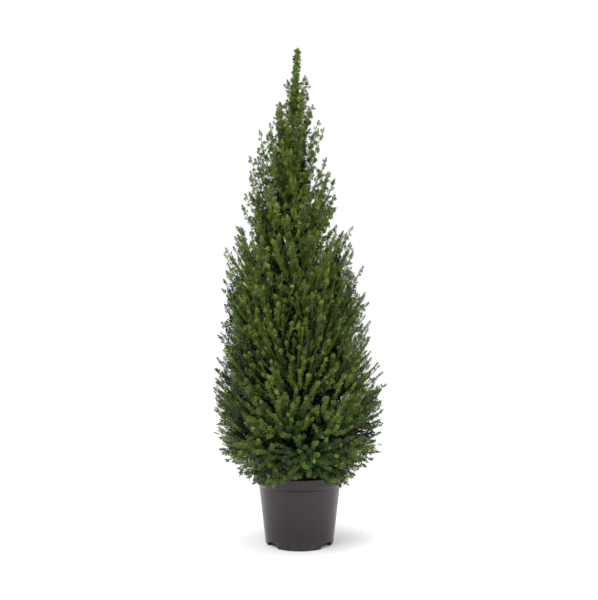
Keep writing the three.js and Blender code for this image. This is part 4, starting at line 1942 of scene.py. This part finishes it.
@dataclass(frozen=True)
class Lamp:
    """A soft square lamp that faces the plant's middle, in metres and watts."""

    name: str
    place: tuple[float, float, float]
    size: float
    power: float
    aim: tuple[float, float, float] = (0.0, 0.0, 0.55)

    def hang(self) -> None:
        """Put the lamp in the scene."""
        data = bpy.data.lights.new(self.name, "AREA")
        data.size = self.size
        data.energy = self.power
        lamp = bpy.data.objects.new(self.name, data)
        lamp.location = self.place
        way = Vector(self.aim) - Vector(self.place)
        lamp.rotation_euler = way.to_track_quat("-Z", "Y").to_euler()
        bpy.context.scene.collection.objects.link(lamp)


@dataclass
class Studio:
    """A white studio: a pale floor, a white surround, soft lamps and the camera."""

    distance: float = 2.0
    eye_height: float = 0.58
    eye_side: float = -0.0013
    frame_height: float = 1.56
    ground_share: float = 0.4025
    floor_radius: float = 9.0
    floor_sides: int = 96
    front_light: float = 0.27
    back_light: float = 0.45
    sky_light: float = 1.1
    seen_white: float = 1.05
    lamps: tuple[Lamp, ...] = (
        Lamp("key", (-1.4, -1.8, 2.7), 1.2, 44.0),
        Lamp("top", (0.2, -0.2, 3.0), 1.6, 30.0),
        Lamp("left", (-2.5, 0.1, 0.45), 1.3, 30.0),
        Lamp("right", (2.5, 0.1, 0.45), 1.2, 24.0),
        Lamp("sheen", (1.9, -1.5, 0.4), 0.7, 7.0),
    )

    def camera(self) -> None:
        """Set the camera level with the plant's middle, in front of it."""
        data = bpy.data.cameras.new("camera")
        data.sensor_width = 36.0
        data.lens = data.sensor_width * self.distance / self.frame_height
        data.shift_y = self.ground_share - self.eye_height / self.frame_height
        eye = bpy.data.objects.new("camera", data)
        eye.location = (self.eye_side, -self.distance, self.eye_height)
        eye.rotation_euler = (math.radians(90), 0, 0)
        bpy.context.scene.collection.objects.link(eye)
        bpy.context.scene.camera = eye

    def floor(self) -> None:
        """Lay the pale floor."""
        angles = [2 * math.pi * i / self.floor_sides for i in range(self.floor_sides)]
        rim = [(self.floor_radius * math.cos(a), self.floor_radius * math.sin(a), 0.0) for a in angles]
        floor = mesh_object("studio_floor", rim, faces=[tuple(range(self.floor_sides))])
        surface = Finish("studio_white", specular=0.1)
        tint = surface.mottle(Patches(scale=2.0))
        surface.colour(surface.board.blend(tint, paint(246, 246, 246), paint(250, 250, 250)))
        surface.gloss(tint, 0.9, 1.0)
        dress(floor, surface.material)

    def surround(self) -> None:
        """Put up the surround: plain white where it is seen, and brighter behind and above as a light."""
        world = bpy.data.worlds.new("studio_surround")
        world.use_nodes = True
        board = NodeBoard(world.node_tree)
        background = world.node_tree.nodes["Background"]
        background.inputs["Color"].default_value = (1.0, 1.0, 1.0, 1.0)
        seen = board.add("ShaderNodeLightPath").outputs["Is Camera Ray"]
        way = board.add("ShaderNodeSeparateXYZ", {0: board.add("ShaderNodeTexCoord").outputs["Generated"]})
        behind = board.add("ShaderNodeMapRange", {"Value": way.outputs["Y"], "From Min": -1.0})
        behind.inputs["To Min"].default_value = self.front_light
        behind.inputs["To Max"].default_value = self.back_light
        above = board.maths("MULTIPLY", board.maths("MAXIMUM", way.outputs["Z"], 0.0), self.sky_light)
        light = board.maths("ADD", behind.outputs[0], above)
        strength = board.add("ShaderNodeMix", {"Factor": seen, 2: light, 3: self.seen_white})
        board.tree.links.new(strength.outputs[0], background.inputs["Strength"])
        bpy.context.scene.world = world

    def build(self) -> None:
        """Set up the camera, the floor, the surround and the lamps."""
        self.camera()
        self.floor()
        self.surround()
        for lamp in self.lamps:
            lamp.hang()
        bpy.context.scene.view_settings.view_transform = "Standard"


def main() -> None:
    """Build the plant and its studio."""
    logging.basicConfig(level=logging.INFO, format="%(name)s: %(message)s")
    Studio().build()
    pot = NurseryPot()
    pot.build()
    PottingSoil(pot).build()
    Limbs().build(OLD_BARK.material())
    Crown().build(YOUNG_BARK.material(), TWIG_BARK.material())


if __name__ == "__main__":
    main()
